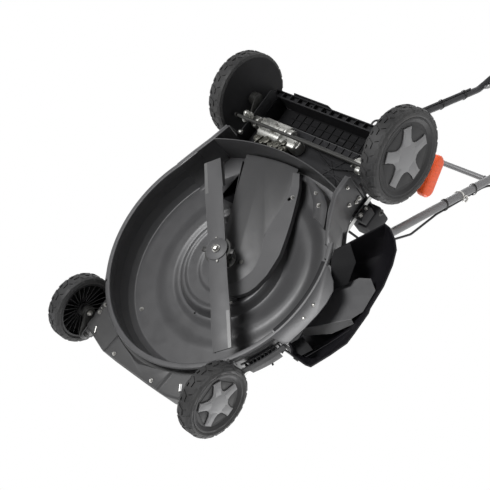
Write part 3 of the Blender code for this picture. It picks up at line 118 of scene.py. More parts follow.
def maths(tree, operation, a, b=None, clamp=False):
    made = tree.nodes.new("ShaderNodeMath")
    made.operation = operation
    made.use_clamp = clamp
    for socket, value in zip(made.inputs, (a, b)):
        if value is None:
            continue
        if isinstance(value, (int, float)):
            socket.default_value = value
        else:
            tree.links.new(value, socket)
    return made.outputs[0]


def blend(tree, fac, a, b, mode="MIX"):
    """Colour mix; each of fac, a and b is a socket or a value."""
    made = tree.nodes.new("ShaderNodeMix")
    made.data_type = "RGBA"
    made.blend_type = mode
    made.clamp_result = True
    for socket, value in ((made.inputs[0], fac), (made.inputs[6], a), (made.inputs[7], b)):
        if isinstance(value, (int, float, tuple)):
            socket.default_value = value
        else:
            tree.links.new(value, socket)
    return made.outputs[2]


def object_point(tree, stretch=None):
    """Object coordinates, stretched along an axis where lines are wanted."""
    point = tree.nodes.new("ShaderNodeTexCoord").outputs["Object"]
    if stretch is None:
        return point
    mapping = tree.nodes.new("ShaderNodeMapping")
    mapping.inputs["Scale"].default_value = stretch
    tree.links.new(point, mapping.inputs["Vector"])
    return mapping.outputs["Vector"]


def noise(tree, vector, scale, detail=3.0, roughness=0.55):
    made = node(tree, "ShaderNodeTexNoise", Detail=detail, Roughness=roughness)
    tree.links.new(vector, made.inputs["Vector"])
    if isinstance(scale, (int, float)):
        made.inputs["Scale"].default_value = scale
    else:
        tree.links.new(scale, made.inputs["Scale"])
    return made.outputs["Fac"]


def make_tone():
    """Slow change of tone over a moulding or a painted panel."""
    tree, gi, go = new_group("tone_drift", [("NodeSocketColor", "Colour", (0.5, 0.5, 0.5, 1)),
        ("NodeSocketFloat", "Spread", 0.1), ("NodeSocketFloat", "Scale", 9.0)],
        [("NodeSocketColor", "Colour")])
    spot = noise(tree, object_point(tree), gi.outputs["Scale"], 4.0)
    centred = maths(tree, "SUBTRACT", spot, 0.5)
    gain = maths(tree, "ADD", maths(tree, "MULTIPLY", maths(tree, "MULTIPLY", centred,
        gi.outputs["Spread"]), 4.0), 1.0)
    scale = tree.nodes.new("ShaderNodeVectorMath")
    scale.operation = "SCALE"
    tree.links.new(gi.outputs["Colour"], scale.inputs[0])
    tree.links.new(gain, scale.inputs["Scale"])
    tree.links.new(scale.outputs[0], go.inputs["Colour"])
    return tree


def make_grain():
    """Fine grain: a height for the bump and a roughness that varies with it."""
    tree, gi, go = new_group("surface_grain", [("NodeSocketFloat", "Scale", 600.0),
        ("NodeSocketFloat", "Rough", 0.5), ("NodeSocketFloat", "Vary", 0.1)],
        [("NodeSocketFloat", "Height"), ("NodeSocketFloat", "Rough")])
    point = object_point(tree)
    fine = noise(tree, point, gi.outputs["Scale"], 2.0)
    broad = noise(tree, point, 26.0, 3.0)
    swing = maths(tree, "MULTIPLY", maths(tree, "SUBTRACT", broad, 0.5), gi.outputs["Vary"])
    rough = maths(tree, "ADD", gi.outputs["Rough"], maths(tree, "MULTIPLY", swing, 3.0), clamp=True)
    tree.links.new(fine, go.inputs["Height"])
    tree.links.new(rough, go.inputs["Rough"])
    return tree


def make_lines():
    """Brushed or turned lines that run along X, with their height and roughness."""
    tree, gi, go = new_group("brushed_lines", [("NodeSocketVector", "Stretch", (20.0, 500.0, 500.0)),
        ("NodeSocketFloat", "Rough", 0.35), ("NodeSocketFloat", "Vary", 0.2)],
        [("NodeSocketFloat", "Height"), ("NodeSocketFloat", "Rough")])
    scaled = tree.nodes.new("ShaderNodeVectorMath")
    scaled.operation = "MULTIPLY"
    tree.links.new(object_point(tree), scaled.inputs[0])
    tree.links.new(gi.outputs["Stretch"], scaled.inputs[1])
    line = noise(tree, scaled.outputs[0], 1.0, 3.0)
    rough = maths(tree, "ADD", gi.outputs["Rough"], maths(tree, "MULTIPLY",
        maths(tree, "SUBTRACT", line, 0.5), gi.outputs["Vary"]), clamp=True)
    tree.links.new(line, go.inputs["Height"])
    tree.links.new(rough, go.inputs["Rough"])
    return tree


def make_wear():
    """Rubbed edges: a mask where the surface turns sharply, broken up by noise."""
    tree, gi, go = new_group("edge_wear", [("NodeSocketColor", "Colour", (0.5, 0.5, 0.5, 1)),
        ("NodeSocketColor", "Worn Colour", (0.7, 0.7, 0.7, 1)), ("NodeSocketFloat", "Amount", 0.4)],
        [("NodeSocketColor", "Colour"), ("NodeSocketFloat", "Mask")])
    bevel = node(tree, "ShaderNodeBevel", samples=4, Radius=0.0012)
    face = tree.nodes.new("ShaderNodeNewGeometry")
    dot = tree.nodes.new("ShaderNodeVectorMath")
    dot.operation = "DOT_PRODUCT"
    tree.links.new(bevel.outputs["Normal"], dot.inputs[0])
    tree.links.new(face.outputs["Normal"], dot.inputs[1])
    turn = maths(tree, "MULTIPLY", maths(tree, "SUBTRACT", 1.0, dot.outputs["Value"]), 9.0, clamp=True)
    broken = maths(tree, "MULTIPLY", noise(tree, object_point(tree), 70.0, 4.0), 1.7, clamp=True)
    mask = maths(tree, "MULTIPLY", maths(tree, "MULTIPLY", turn, broken), gi.outputs["Amount"], clamp=True)
    tree.links.new(blend(tree, mask, gi.outputs["Colour"], gi.outputs["Worn Colour"]), go.inputs["Colour"])
    tree.links.new(mask, go.inputs["Mask"])
    return tree


def make_dust():
    """Thin dust in patches, thicker on faces that look up."""
    tree, gi, go = new_group("settled_dust", [("NodeSocketColor", "Colour", (0.5, 0.5, 0.5, 1)),
        ("NodeSocketColor", "Dust Colour", (0.3, 0.28, 0.25, 1)), ("NodeSocketFloat", "Amount", 0.1),
        ("NodeSocketFloat", "Rough", 0.5)], [("NodeSocketColor", "Colour"), ("NodeSocketFloat", "Rough")])
    face = tree.nodes.new("ShaderNodeNewGeometry")
    parts = tree.nodes.new("ShaderNodeSeparateXYZ")
    tree.links.new(face.outputs["Normal"], parts.inputs[0])
    up = maths(tree, "ADD", maths(tree, "MULTIPLY", parts.outputs["Z"], 0.35), 0.65, clamp=True)
    patch = maths(tree, "MULTIPLY", maths(tree, "SUBTRACT", noise(tree, object_point(tree), 14.0, 6.0,
        0.65), 0.38), 3.0, clamp=True)
    mask = maths(tree, "MULTIPLY", maths(tree, "MULTIPLY", patch, up), gi.outputs["Amount"], clamp=True)
    tree.links.new(blend(tree, mask, gi.outputs["Colour"], gi.outputs["Dust Colour"]), go.inputs["Colour"])
    rough = maths(tree, "ADD", gi.outputs["Rough"], maths(tree, "MULTIPLY", mask, 0.35), clamp=True)
    tree.links.new(rough, go.inputs["Rough"])
    return tree


GROUPS = {}


def use_group(tree, name, **links):
    """Place one of the shared groups; values and sockets go in by input name, spaces written as _."""
    makers = {"tone_drift": make_tone, "surface_grain": make_grain, "brushed_lines": make_lines,
              "edge_wear": make_wear, "settled_dust": make_dust}
    if name not in GROUPS:
        GROUPS[name] = makers[name]()
    made = tree.nodes.new("ShaderNodeGroup")
    made.node_tree = GROUPS[name]
    for key, value in links.items():
        socket = made.inputs[key.replace("_", " ")]
        if isinstance(value, bpy.types.NodeSocket):
            tree.links.new(value, socket)
        else:
            socket.default_value = value
    return made


LOOKS = {}


def finish(name, colour, rough, metal=0.0, grain=(700.0, 0.06), lines=None, spread=0.06, vary=0.08,
        worn=None, wear=0.0, dust=0.0, dust_colour=(0.2, 0.185, 0.16), coat=0.0, specular=0.5):
    """One Principled finish with tone, grain or brushed lines, worn edges and dust."""
    if name in LOOKS:
        return LOOKS[name]
    mat = bpy.data.materials.new(name)
    mat.use_nodes = True
    tree = mat.node_tree
    shader = tree.nodes["Principled BSDF"]
    shader.inputs["Metallic"].default_value = metal
    shader.inputs["Coat Weight"].default_value = coat
    shader.inputs["Coat Roughness"].default_value = 0.15
    shader.inputs["Specular IOR Level"].default_value = specular
    tone = use_group(tree, "tone_drift", Colour=(*colour, 1), Spread=spread, Scale=9.0)
    edge = use_group(tree, "edge_wear", Colour=tone.outputs["Colour"],
        Worn_Colour=(*(worn or [min(1, c * 1.8 + 0.05) for c in colour]), 1), Amount=wear)
    if lines:
        base = use_group(tree, "brushed_lines", Stretch=lines, Rough=rough, Vary=vary * 2.5)
    else:
        base = use_group(tree, "surface_grain", Scale=grain[0], Rough=rough, Vary=vary)
    film = use_group(tree, "settled_dust", Colour=edge.outputs["Colour"], Dust_Colour=(*dust_colour, 1),
        Amount=dust, Rough=base.outputs["Rough"])
    bump = node(tree, "ShaderNodeBump", Strength=grain[1], Distance=0.001)
    tree.links.new(base.outputs["Height"], bump.inputs["Height"])
    tree.links.new(film.outputs["Colour"], shader.inputs["Base Color"])
    tree.links.new(film.outputs["Rough"], shader.inputs["Roughness"])
    tree.links.new(bump.outputs["Normal"], shader.inputs["Normal"])
    mat.diffuse_color = (*colour, 1)
    LOOKS[name] = mat
    return mat


def look(name):
    """The finishes of this mower, each made the first time it is asked for."""
    c = bpy.context.scene.mower_colours
    made = {
        "deck_paint": lambda: finish(name, c.deck, 0.35, 0.15, (420.0, 0.1), wear=0.3, dust=0.08,
            worn=(0.22, 0.22, 0.22)),
        "black_plastic": lambda: finish(name, c.black_plastic, 0.55, 0.0, (900.0, 0.16), wear=0.25,
            dust=0.03, specular=0.2),
        # Chute: black plastic, made darker than the other black plastic as painted shade inside the hood.
        "chute_plastic_and_painted_shade": lambda: finish(name, c.chute, 0.5, 0.0, (800.0, 0.1), wear=0.2, dust=0.02,
            specular=0.16),
        "grey_plastic": lambda: finish(name, c.rim, 0.5, 0.0, (850.0, 0.1), wear=0.3, dust=0.04,
            specular=0.35),
        "cap_plastic": lambda: finish(name, c.hub_cap, 0.52, 0.0, (850.0, 0.06), wear=0.2, dust=0.08,
            specular=0.3),
        "tyre": lambda: finish(name, c.tyre, 0.62, 0.0, (520.0, 0.22), wear=0.4, dust=0.14, worn=(0.12,
            0.12, 0.12)),
        "zinc_steel": lambda: finish(name, (0.56, 0.56, 0.55), 0.34, 1.0, (500.0, 0.08), lines=(60.0,
            900.0, 900.0), wear=0.2, dust=0.1),
        "bolt_steel": lambda: finish(name, (0.7, 0.69, 0.66), 0.28, 1.0, (900.0, 0.05), wear=0.2),
        "blade_steel": lambda: finish(name, c.blade, 0.54, 0.2, (380.0, 0.08), wear=0.5, worn=(0.35, 0.35,
            0.35), dust=0.06),
        "dark_steel": lambda: finish(name, (0.045, 0.045, 0.043), 0.46, 0.2, (300.0, 0.12), wear=0.3,
            dust=0.05),
        "ground_edge": lambda: finish(name, (0.2, 0.2, 0.2), 0.34, 0.6, lines=(900.0, 60.0, 900.0)),
        "cast_aluminium": lambda: finish(name, (0.62, 0.62, 0.59), 0.46, 1.0, (240.0, 0.45), spread=0.08,
            wear=0.3, dust=0.08),
        # Belt cover plate: the deck's painted steel made darker, as painted shade.
        "belt_plate_painted_shade": lambda: finish(name, (0.078, 0.078, 0.08), 0.46, 0.1, (420.0, 0.1), wear=0.25,
            dust=0.06),
        # Belt cover strip: the deck's painted steel made lighter, as painted highlight where the strip faces
        # the light.
        "belt_strip_painted_highlight": lambda: finish(name, (0.13, 0.13, 0.133), 0.4, 0.15, (420.0, 0.1), wear=0.3,
            dust=0.06),
        # Front apron: the deck's painted steel made darker, as painted shade.
        "apron_painted_shade": lambda: finish(name, (0.056, 0.056, 0.057), 0.4, 0.15, (420.0, 0.1), wear=0.3,
            dust=0.08),
        # Chute ramp: black plastic made lighter, as painted light where the ramp faces the lamp.
        "chute_ramp_painted_light": lambda: finish(name, (0.034, 0.034, 0.037), 0.5, 0.0, (800.0, 0.1), wear=0.2,
            dust=0.04),
        # Chute strip: black plastic made much lighter, as painted highlight where the strip faces the light.
        "chute_strip_painted_highlight": lambda: finish(name, (0.11, 0.11, 0.112), 0.45, 0.0, (800.0, 0.1), wear=0.3,
            dust=0.04),
        "cast_dark": lambda: finish(name, (0.085, 0.083, 0.07), 0.44, 0.6, (200.0, 0.7), spread=0.45,
            vary=0.2, wear=0.5, worn=(0.62, 0.61, 0.56), dust=0.15),
        "orange_plastic": lambda: finish(name, c.lever, 0.34, 0.0, (900.0, 0.06), spread=0.02, wear=0.15,
            worn=(1.0, 0.35, 0.15)),
        "tube_grey": lambda: finish(name, c.lower_tube, 0.36, 0.35, (600.0, 0.05), wear=0.3),
        "tube_black": lambda: finish(name, (0.03, 0.03, 0.033), 0.36, 0.2, (600.0, 0.05), wear=0.3),
        "belt_rubber": lambda: finish(name, (0.02, 0.02, 0.02), 0.75, 0.0, (500.0, 0.3), dust=0.2),
        "cable_black": lambda: finish(name, (0.02, 0.02, 0.022), 0.42, 0.0, (900.0, 0.05)),
        "muffler_steel": lambda: finish(name, (0.13, 0.115, 0.1), 0.58, 0.7, (300.0, 0.3), spread=0.25,
            vary=0.2, wear=0.3),
        "engine_plastic": lambda: finish(name, (0.035, 0.035, 0.038), 0.4, 0.0, (800.0, 0.12), wear=0.25,
            dust=0.1),
        # Near-black for sheets deep in the chute and under the tunnel: painted shade.
        "painted_shade_black": lambda: finish(name, (0.01, 0.01, 0.011), 0.6, 0.0, (700.0, 0.1), specular=0.15),
    }
    return made[name]()


# Modelling helpers. Each returns a bmesh in the mower's axes.

TURN = {"Z": Matrix.Identity(4), "X": Matrix(((0, 0, 1, 0), (1, 0, 0, 0), (0, 1, 0, 0), (0, 0, 0, 1))),
        "Y": Matrix(((1, 0, 0, 0), (0, 0, -1, 0), (0, 1, 0, 0), (0, 0, 0, 1)))}


def turned(profile, axis="Z", centre=(0, 0, 0), steps=96, side=1, sweep=360.0, start=0.0, closed=True):
    """A profile of (radius, height) spun about an axis through 'centre'; side -1 mirrors the height."""
    bm = bmesh.new()
    verts = [bm.verts.new((r, 0, h * side)) for r, h in profile]
    edges = [bm.edges.new(pair) for pair in zip(verts, verts[1:])]
    if closed and min(r for r, h in profile) > 1e-6:
        edges.append(bm.edges.new((verts[-1], verts[0])))
    if start:
        bmesh.ops.rotate(bm, verts=bm.verts, cent=(0, 0, 0), matrix=Matrix.Rotation(math.radians(start), 3,
            "Z"))
    full = abs(sweep - 360.0) < 1e-6
    bmesh.ops.spin(bm, geom=verts + edges, cent=(0, 0, 0), axis=(0, 0, 1), angle=math.radians(sweep),
        steps=steps, use_merge=full)
    bmesh.ops.remove_doubles(bm, verts=bm.verts, dist=1e-6)
    bmesh.ops.transform(bm, matrix=TURN[axis], verts=bm.verts)
    bmesh.ops.translate(bm, verts=bm.verts, vec=centre)
    return bm


def bevelled(bm, width, segments=2, angle=30):
    if width > 0:
        bm.normal_update()
        edges = [e for e in bm.edges
            if len(e.link_faces) == 2 and e.calc_face_angle(0) > math.radians(angle)]
        bmesh.ops.bevel(bm, geom=edges, offset=width, segments=segments, profile=0.5, affect="EDGES",
            material=-1, clamp_overlap=True)
    return bm


def block(low, high, bevel=0.0, segments=2):
    bm = bmesh.new()
    bmesh.ops.create_cube(bm, size=1.0)
    low, high = Vector(low), Vector(high)
    bmesh.ops.scale(bm, verts=bm.verts, vec=high - low)
    bmesh.ops.translate(bm, verts=bm.verts, vec=(low + high) / 2)
    return bevelled(bm, bevel, segments)


def drum(axis, centre, radius, length, steps=32, bevel=0.0, segments=2):
    bm = bmesh.new()
    bmesh.ops.create_cone(bm, cap_ends=True, segments=steps, radius1=radius, radius2=radius, depth=length)
    bevelled(bm, bevel, segments, 50)
    bmesh.ops.transform(bm, matrix=TURN[axis], verts=bm.verts)
    bmesh.ops.translate(bm, verts=bm.verts, vec=centre)
    return bm


def wrapped(points, bevel=0.0, segments=2):
    """Convex form round a few corners."""
    bm = bmesh.new()
    for p in points:
        bm.verts.new(p)
    made = bmesh.ops.convex_hull(bm, input=bm.verts)
    loose = [v for v in made["geom_interior"] if isinstance(v, bmesh.types.BMVert)]
    if loose:
        bmesh.ops.delete(bm, geom=loose, context="VERTS")
    bmesh.ops.dissolve_limit(bm, angle_limit=0.01, verts=bm.verts, edges=bm.edges)
    return bevelled(bm, bevel, segments)


def quads(bm, rows, closed=False):
    """Faces between neighbouring rows of vertices."""
    for low, high in zip(rows, rows[1:]):
        for i in range(len(low) if closed else len(low) - 1):
            k = (i + 1) % len(low)
            bm.faces.new((low[i], low[k], high[k], high[i]))


def thickened(bm, thickness):
    """Give open faces a thickness."""
    bmesh.ops.recalc_face_normals(bm, faces=bm.faces)
    bmesh.ops.solidify(bm, geom=bm.faces[:], thickness=thickness)
    return bm


def sheet(outline, axis, low, high, bevel=0.0, segments=2):
    """A flat outline drawn in (x, y) for Z, (y, z) for X or (x, z) for Y, extruded from low to high."""
    bm = bmesh.new()
    face = bm.faces.new([bm.verts.new((u, v, 0)) for u, v in outline])
    out = bmesh.ops.extrude_face_region(bm, geom=[face])
    top = [v for v in out["geom"] if isinstance(v, bmesh.types.BMVert)]
    bmesh.ops.translate(bm, verts=top, vec=(0, 0, high - low))
    bmesh.ops.recalc_face_normals(bm, faces=bm.faces)
    bevelled(bm, bevel, segments)
    bmesh.ops.transform(bm, matrix=TURN[axis], verts=bm.verts)
    bmesh.ops.translate(bm, verts=bm.verts, vec={"Z": (0, 0, low), "X": (low, 0, 0),
        "Y": (0, high, 0)}[axis])
    return bm


def swept(path, radius, sides=16, caps=True):
    """A round tube along a path, extruded ring by ring."""
    pts = [Vector(p) for p in path]
    bm = bmesh.new()
    ring = bmesh.ops.create_circle(bm, cap_ends=False, segments=sides, radius=radius)["verts"]
    heads = [(b - a).normalized() for a, b in zip(pts, pts[1:])]
    turn = Vector((0, 0, 1)).rotation_difference(heads[0]).to_matrix()
    bmesh.ops.transform(bm, matrix=Matrix.Translation(pts[0]) @ turn.to_4x4(), verts=ring)
    edges = list({e for v in ring for e in v.link_edges})
    if caps:
        bm.faces.new(ring)
    for i in range(1, len(pts)):
        out = bmesh.ops.extrude_edge_only(bm, edges=edges)
        verts = [v for v in out["geom"] if isinstance(v, bmesh.types.BMVert)]
        edges = [e for e in out["geom"] if isinstance(e, bmesh.types.BMEdge)]
        bmesh.ops.translate(bm, verts=verts, vec=pts[i] - pts[i - 1])
        # The ring stays on the bisecting plane: shear it along the old heading.
        before = heads[i - 1]
        after = heads[i] if i < len(heads) else heads[-1]
        plane = (before + after).normalized()
        for v in verts:
            d = v.co - pts[i]
            v.co = pts[i] + d - before * (d.dot(plane) / before.dot(plane))
    if caps:
        bmesh.ops.contextual_create(bm, geom=verts)
    bmesh.ops.recalc_face_normals(bm, faces=bm.faces)
    return bm


def rounded(points, radius, steps=6):
    """The points with each inner corner replaced by an arc."""
    pts = [Vector(p) for p in points]
    out = [pts[0]]
    for a, b, c in zip(pts, pts[1:], pts[2:]):
        u, v = (a - b).normalized(), (c - b).normalized()
        if u.angle(v) > math.pi - 0.02:
            out.append(b)
            continue
        half = u.angle(v) / 2
        back = min(radius / math.tan(half), 0.49 * (a - b).length, 0.49 * (c - b).length)
        r = back * math.tan(half)
        centre = b + (u + v).normalized() * (r / math.sin(half))
        first, last = b + u * back - centre, b + v * back - centre
        sweep = first.angle(last)
        for i in range(steps + 1):
            t = i / steps
            out.append(centre
                + (first * math.sin((1 - t) * sweep) + last * math.sin(t * sweep)) / math.sin(sweep))
    return out + [pts[-1]]


def moved(bm, matrix):
    bmesh.ops.transform(bm, matrix=matrix, verts=bm.verts)
    return bm


def joined(*parts):
    """Several bmeshes in one."""
    whole = parts[0]
    for part in parts[1:]:
        mesh = bpy.data.meshes.new("part")
        part.to_mesh(mesh)
        part.free()
        whole.from_mesh(mesh)
        bpy.data.meshes.remove(mesh)
    return whole


def carved(bm, cutters, operation="DIFFERENCE"):
    """Boolean of a bmesh with others, one after another."""
    def loose_object(name, source):
        bmesh.ops.recalc_face_normals(source, faces=source.faces)
        mesh = bpy.data.meshes.new(name)
        source.to_mesh(mesh)
        source.free()
        obj = bpy.data.objects.new(name, mesh)
        bpy.context.scene.collection.objects.link(obj)
        return obj
    base = loose_object("carve_base", bm)
    tools = [loose_object("carve_tool", c) for c in cutters]
    for tool in tools:
        mod = base.modifiers.new("cut", "BOOLEAN")
        mod.object = tool
        mod.operation = operation
        mod.solver = "EXACT"
    bpy.context.view_layer.update()
    mesh = bpy.data.meshes.new_from_object(base.evaluated_get(bpy.context.evaluated_depsgraph_get()))
    out = bmesh.new()
    out.from_mesh(mesh)
    bpy.data.meshes.remove(mesh)
    for obj in [base] + tools:
        data = obj.data
        bpy.data.objects.remove(obj, do_unlink=True)
        bpy.data.meshes.remove(data)
    return out


def piece(name, bm, finish_name, body, stands_for=(), angle=32):
    """Make the object, ride it on its body and hide the frame nodes it stands for."""
    bmesh.ops.remove_doubles(bm, verts=bm.verts, dist=2e-6)
    bmesh.ops.recalc_face_normals(bm, faces=bm.faces)
    bmesh.ops.translate(bm, verts=bm.verts, vec=SHIFT)
    mesh = bpy.data.meshes.new(name)
    bm.to_mesh(mesh)
    bm.free()
    mesh.shade_smooth()
    mesh.set_sharp_from_angle(angle=math.radians(angle))
    obj = bpy.data.objects.new(name, mesh)
    bpy.context.scene.collection.objects.link(obj)
    mesh.materials.append(look(finish_name))
    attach(obj, body)
    if stands_for:
        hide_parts(*stands_for)
    return obj


def dress(node_name, finish_name):
    """Give a frame node its finish."""
    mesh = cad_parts[node_name].data
    mesh.materials.clear()
    mesh.materials.append(look(finish_name))


def placed(x, y, degrees=0.0):
    """Matrix that turns about Z and then moves."""
    return Matrix.Translation((x, y, 0)) @ Matrix.Rotation(math.radians(degrees), 4, "Z")


def angles(count):
    """Even steps round a full turn."""
    return [2 * math.pi * k / count for k in range(count)]


def ray(angle):
    """Unit vectors outwards and sideways at an angle."""
    return Vector((math.cos(angle), math.sin(angle))), Vector((-math.sin(angle), math.cos(angle)))


def coil(turns, sides, spot):
    """Points of a winding; spot(share, c, s) places each from its share of the length, cosine and sine."""
    whole = turns * sides
    steps = [(k / whole, 2 * math.pi * k / sides) for k in range(whole + 1)]
    return [spot(share, math.cos(a), math.sin(a)) for share, a in steps]


def arc(radius, start, stop, count, centre=(0.0, CRANK_Y)):
    turns = [math.radians(start + (stop - start) * i / (count - 1)) for i in range(count)]
    return [(centre[0] + radius * math.cos(a), centre[1] + radius * math.sin(a)) for a in turns]


def facing(direction, at):
    """Matrix that turns +Z to a direction and moves to a point."""
    turn = Vector((0, 0, 1)).rotation_difference(Vector(direction).normalized())
    return Matrix.Translation(Vector(at)) @ turn.to_matrix().to_4x4()


def hex_bolt(at, direction, across=0.01, height=0.0045, washer=0.0075):
    """A hexagon head on its washer, standing on 'at' and looking along 'direction'."""
    head = drum("Z", (0, 0, 0.0012 + height / 2), across / 2 / math.cos(math.pi / 6), height, 6, 0.0006, 1)
    ring = drum("Z", (0, 0, 0.0006), washer, 0.0012, 24, 0.0003, 1)
    stem = drum("Z", (0, 0, 0.0012 + height + 0.0006), across * 0.27, 0.0022, 12, 0.0004, 1)
    return moved(joined(ring, head, stem), facing(direction, at))


def rivet(at, direction, radius=0.0045, height=0.0022):
    bm = bmesh.new()
    bmesh.ops.create_uvsphere(bm, u_segments=16, v_segments=8, radius=radius)
    low = [v for v in bm.verts if v.co.z < -1e-5]
    bmesh.ops.delete(bm, geom=low, context="VERTS")
    bmesh.ops.scale(bm, verts=bm.verts, vec=(1, 1, height / radius))
    rim = [e for e in bm.edges if e.is_boundary]
    bmesh.ops.holes_fill(bm, edges=rim)
    return moved(bm, facing(direction, at))


# The user's sizes and colours.

class MowerSizes(bpy.types.PropertyGroup):
    tread_depth: FloatProperty(name="Tread depth", description="Height of the tyres' tread blocks",
        default=0.0028, min=0.0005, max=0.004, unit="LENGTH")
    tread_pitches: IntProperty(name="Tread pitches", description="Tread blocks round a rear tyre",
        default=22, min=12, max=40)
    rim_ribs: IntProperty(name="Rim ribs", description="Ribs inside a front rim", default=24, min=8, max=40)
    floor_size: FloatProperty(name="Floor size", description="Side of the floor", default=14.0, min=2.0,
        unit="LENGTH")


def colour_prop(name, what, value):
    return FloatVectorProperty(name=name, description="Colour of the " + what, subtype="COLOR", size=3,
        min=0, max=1, default=value)


class MowerColours(bpy.types.PropertyGroup):
    deck: colour_prop("Deck", "painted steel deck", (0.085, 0.085, 0.088))
    black_plastic: colour_prop("Black plastic", "tunnel, bar, brackets and caps", (0.02, 0.02, 0.022))
    # The chute's black plastic, darker than the other black plastic as painted shade inside its hood.
    chute: colour_prop("Chute", "side chute", (0.0075, 0.007, 0.009))
    rim: colour_prop("Rims", "wheel rims", (0.024, 0.024, 0.025))
    hub_cap: colour_prop("Hub caps", "star shaped hub caps", (0.29, 0.29, 0.295))
    tyre: colour_prop("Tyres", "tyres", (0.036, 0.036, 0.037))
    blade: colour_prop("Blade", "blade's coating", (0.105, 0.105, 0.108))
    lever: colour_prop("Lever grip", "height lever's grip", (1.0, 0.12, 0.022))
    lower_tube: colour_prop("Lower tube", "lower handle tube", (0.22, 0.22, 0.225))
    floor: colour_prop("Floor", "floor", (0.93, 0.93, 0.93))


# Operators, one for each piece or group of like pieces.

class MOWER_OT_frame(bpy.types.Operator):
    """Give every frame node its finish"""
    bl_idname = "mower.frame"
    bl_label = "Finish the frame"

    @staticmethod
    def on_wheels(part):
        return tuple("%s_%s_%s" % (place, part, word) for place in ("front", "rear") for s, word in SIDES)

    def execute(self, context):
        finishes = {
            "deck_paint": ("deck_shell", "front_apron", "belt_cover", "side_flap"),
            "black_plastic": ("front_fairing", "rear_tunnel", "rear_flap", "rear_panel", "gearbox_pulley",
                "air_filter_cover", "fuel_cap", "oil_filler_cap", "recoil_handle", "handle_bracket_left",
                "handle_bracket_right", "fold_knob_left", "fold_knob_right"),
            "chute_plastic_and_painted_shade": ("side_chute",),
            "grey_plastic": self.on_wheels("rim"),
            "cap_plastic": self.on_wheels("hub_cap"),
            "tyre": self.on_wheels("tyre"),
            "zinc_steel": ("blade_adapter", "blade_bolt", "crank_pulley", "crankshaft", "drive_shaft",
                "height_lever", "height_link_left", "height_link_right", "front_arm_left",
                "front_arm_right", "rear_arm_left", "rear_arm_right"),
            "dark_steel": ("side_flap_rod",),
            "blade_steel": ("blade",),
            "cast_aluminium": ("engine_block", "flywheel", "gearbox"),
            "orange_plastic": ("lever_grip",),
            "tube_grey": ("lower_handle", "drive_bail"),
            "tube_black": ("upper_handle", "stop_bail"),
            "belt_rubber": ("drive_belt",),
            "cable_black": ("stop_cable_lower", "stop_cable_upper", "drive_cable_lower",
                "drive_cable_upper"),
            "muffler_steel": ("muffler",),
            "engine_plastic": ("engine_shroud", "fuel_tank"),
        }
        for finish_name, names in finishes.items():
            for name in names:
                dress(name, finish_name)
        return {"FINISHED"}


class MOWER_OT_stage(bpy.types.Operator):
    """Floor, lamps, world and the photograph's camera"""
    bl_idname = "mower.stage"
    bl_label = "Stage"

    def execute(self, context):
        scene = context.scene
        sizes, colours = scene.mower_sizes, scene.mower_colours
        scene.view_settings.view_transform = "Standard"
        half = sizes.floor_size / 2
        bm = bmesh.new()
        bmesh.ops.create_grid(bm, x_segments=2, y_segments=2, size=half)
        mesh = bpy.data.meshes.new("floor")
        bm.to_mesh(mesh)
        bm.free()
        floor = bpy.data.objects.new("floor", mesh)
        floor.location = (0, 0, -0.0006)
        scene.collection.objects.link(floor)
        mat = bpy.data.materials.new("floor")
        mat.use_nodes = True
        tree = mat.node_tree
        shader = tree.nodes["Principled BSDF"]
        shader.inputs["Base Color"].default_value = (*colours.floor, 1)
        shader.inputs["Roughness"].default_value = 0.8
        clear = tree.nodes.new("ShaderNodeBsdfTransparent")
        path = tree.nodes.new("ShaderNodeLightPath")
        back = tree.nodes.new("ShaderNodeNewGeometry").outputs["Backfacing"]
        through = maths(tree, "MAXIMUM", back, path.outputs["Is Shadow Ray"])
        mix = tree.nodes.new("ShaderNodeMixShader")
        tree.links.new(through, mix.inputs[0])
        tree.links.new(shader.outputs[0], mix.inputs[1])
        tree.links.new(clear.outputs[0], mix.inputs[2])
        tree.links.new(mix.outputs[0], tree.nodes["Material Output"].inputs["Surface"])
        mesh.materials.append(mat)

        world = bpy.data.worlds.new("studio")
        world.use_nodes = True
        scene.world = world
        tree = world.node_tree
        ground = tree.nodes["Background"]
        path = tree.nodes.new("ShaderNodeLightPath")
        seen = maths(tree, "MAXIMUM", path.outputs["Is Camera Ray"], maths(tree, "MAXIMUM",
            path.outputs["Is Glossy Ray"], path.outputs["Is Transmission Ray"]))
        level = maths(tree, "ADD", maths(tree, "MULTIPLY", seen, 0.72), 0.28)
        ground.inputs["Color"].default_value = (1, 1, 1, 1)
        tree.links.new(level, ground.inputs["Strength"])

        target = Vector((0.0, 0.34, 0.15)) + SHIFT
        lamps = (
            # name, offset from the target, energy in watts, size in metres
            ("key", CAMERA_RIGHT * -1.5 + CAMERA_DOWN * -1.3 - CAMERA_AHEAD * 1.4, 49.0, 1.1),
            ("fill", CAMERA_RIGHT * 1.6 + CAMERA_DOWN * 1.0 - CAMERA_AHEAD * 1.5, 6.0, 1.6),
            ("top", Vector((0.9, 0.9, 2.3)), 34.0, 1.8),
            ("back", Vector((-1.5, -1.4, 2.0)), 26.0, 1.8),
        )
        for name, offset, energy, size in lamps:
            lamp = bpy.data.lights.new(name, "AREA")
            lamp.energy = energy
            lamp.size = size
            obj = bpy.data.objects.new(name, lamp)
            obj.location = target + offset
            obj.rotation_euler = (-offset).to_track_quat("-Z", "Y").to_euler()
            scene.collection.objects.link(obj)

        data = bpy.data.cameras.new("photo_camera")
        data.lens = CAMERA_LENS
        data.sensor_width = 36.0
        data.clip_start = 0.05
        camera = bpy.data.objects.new("photo_camera", data)
        up, back = -CAMERA_DOWN.normalized(), -CAMERA_AHEAD.normalized()
        right = up.cross(back).normalized()
        up = back.cross(right)
        turn = Matrix((right, up, back)).transposed().to_4x4()
        camera.matrix_world = Matrix.Translation(CAMERA_AT + SHIFT) @ turn
        scene.collection.objects.link(camera)
        scene.camera = camera
        return {"FINISHED"}


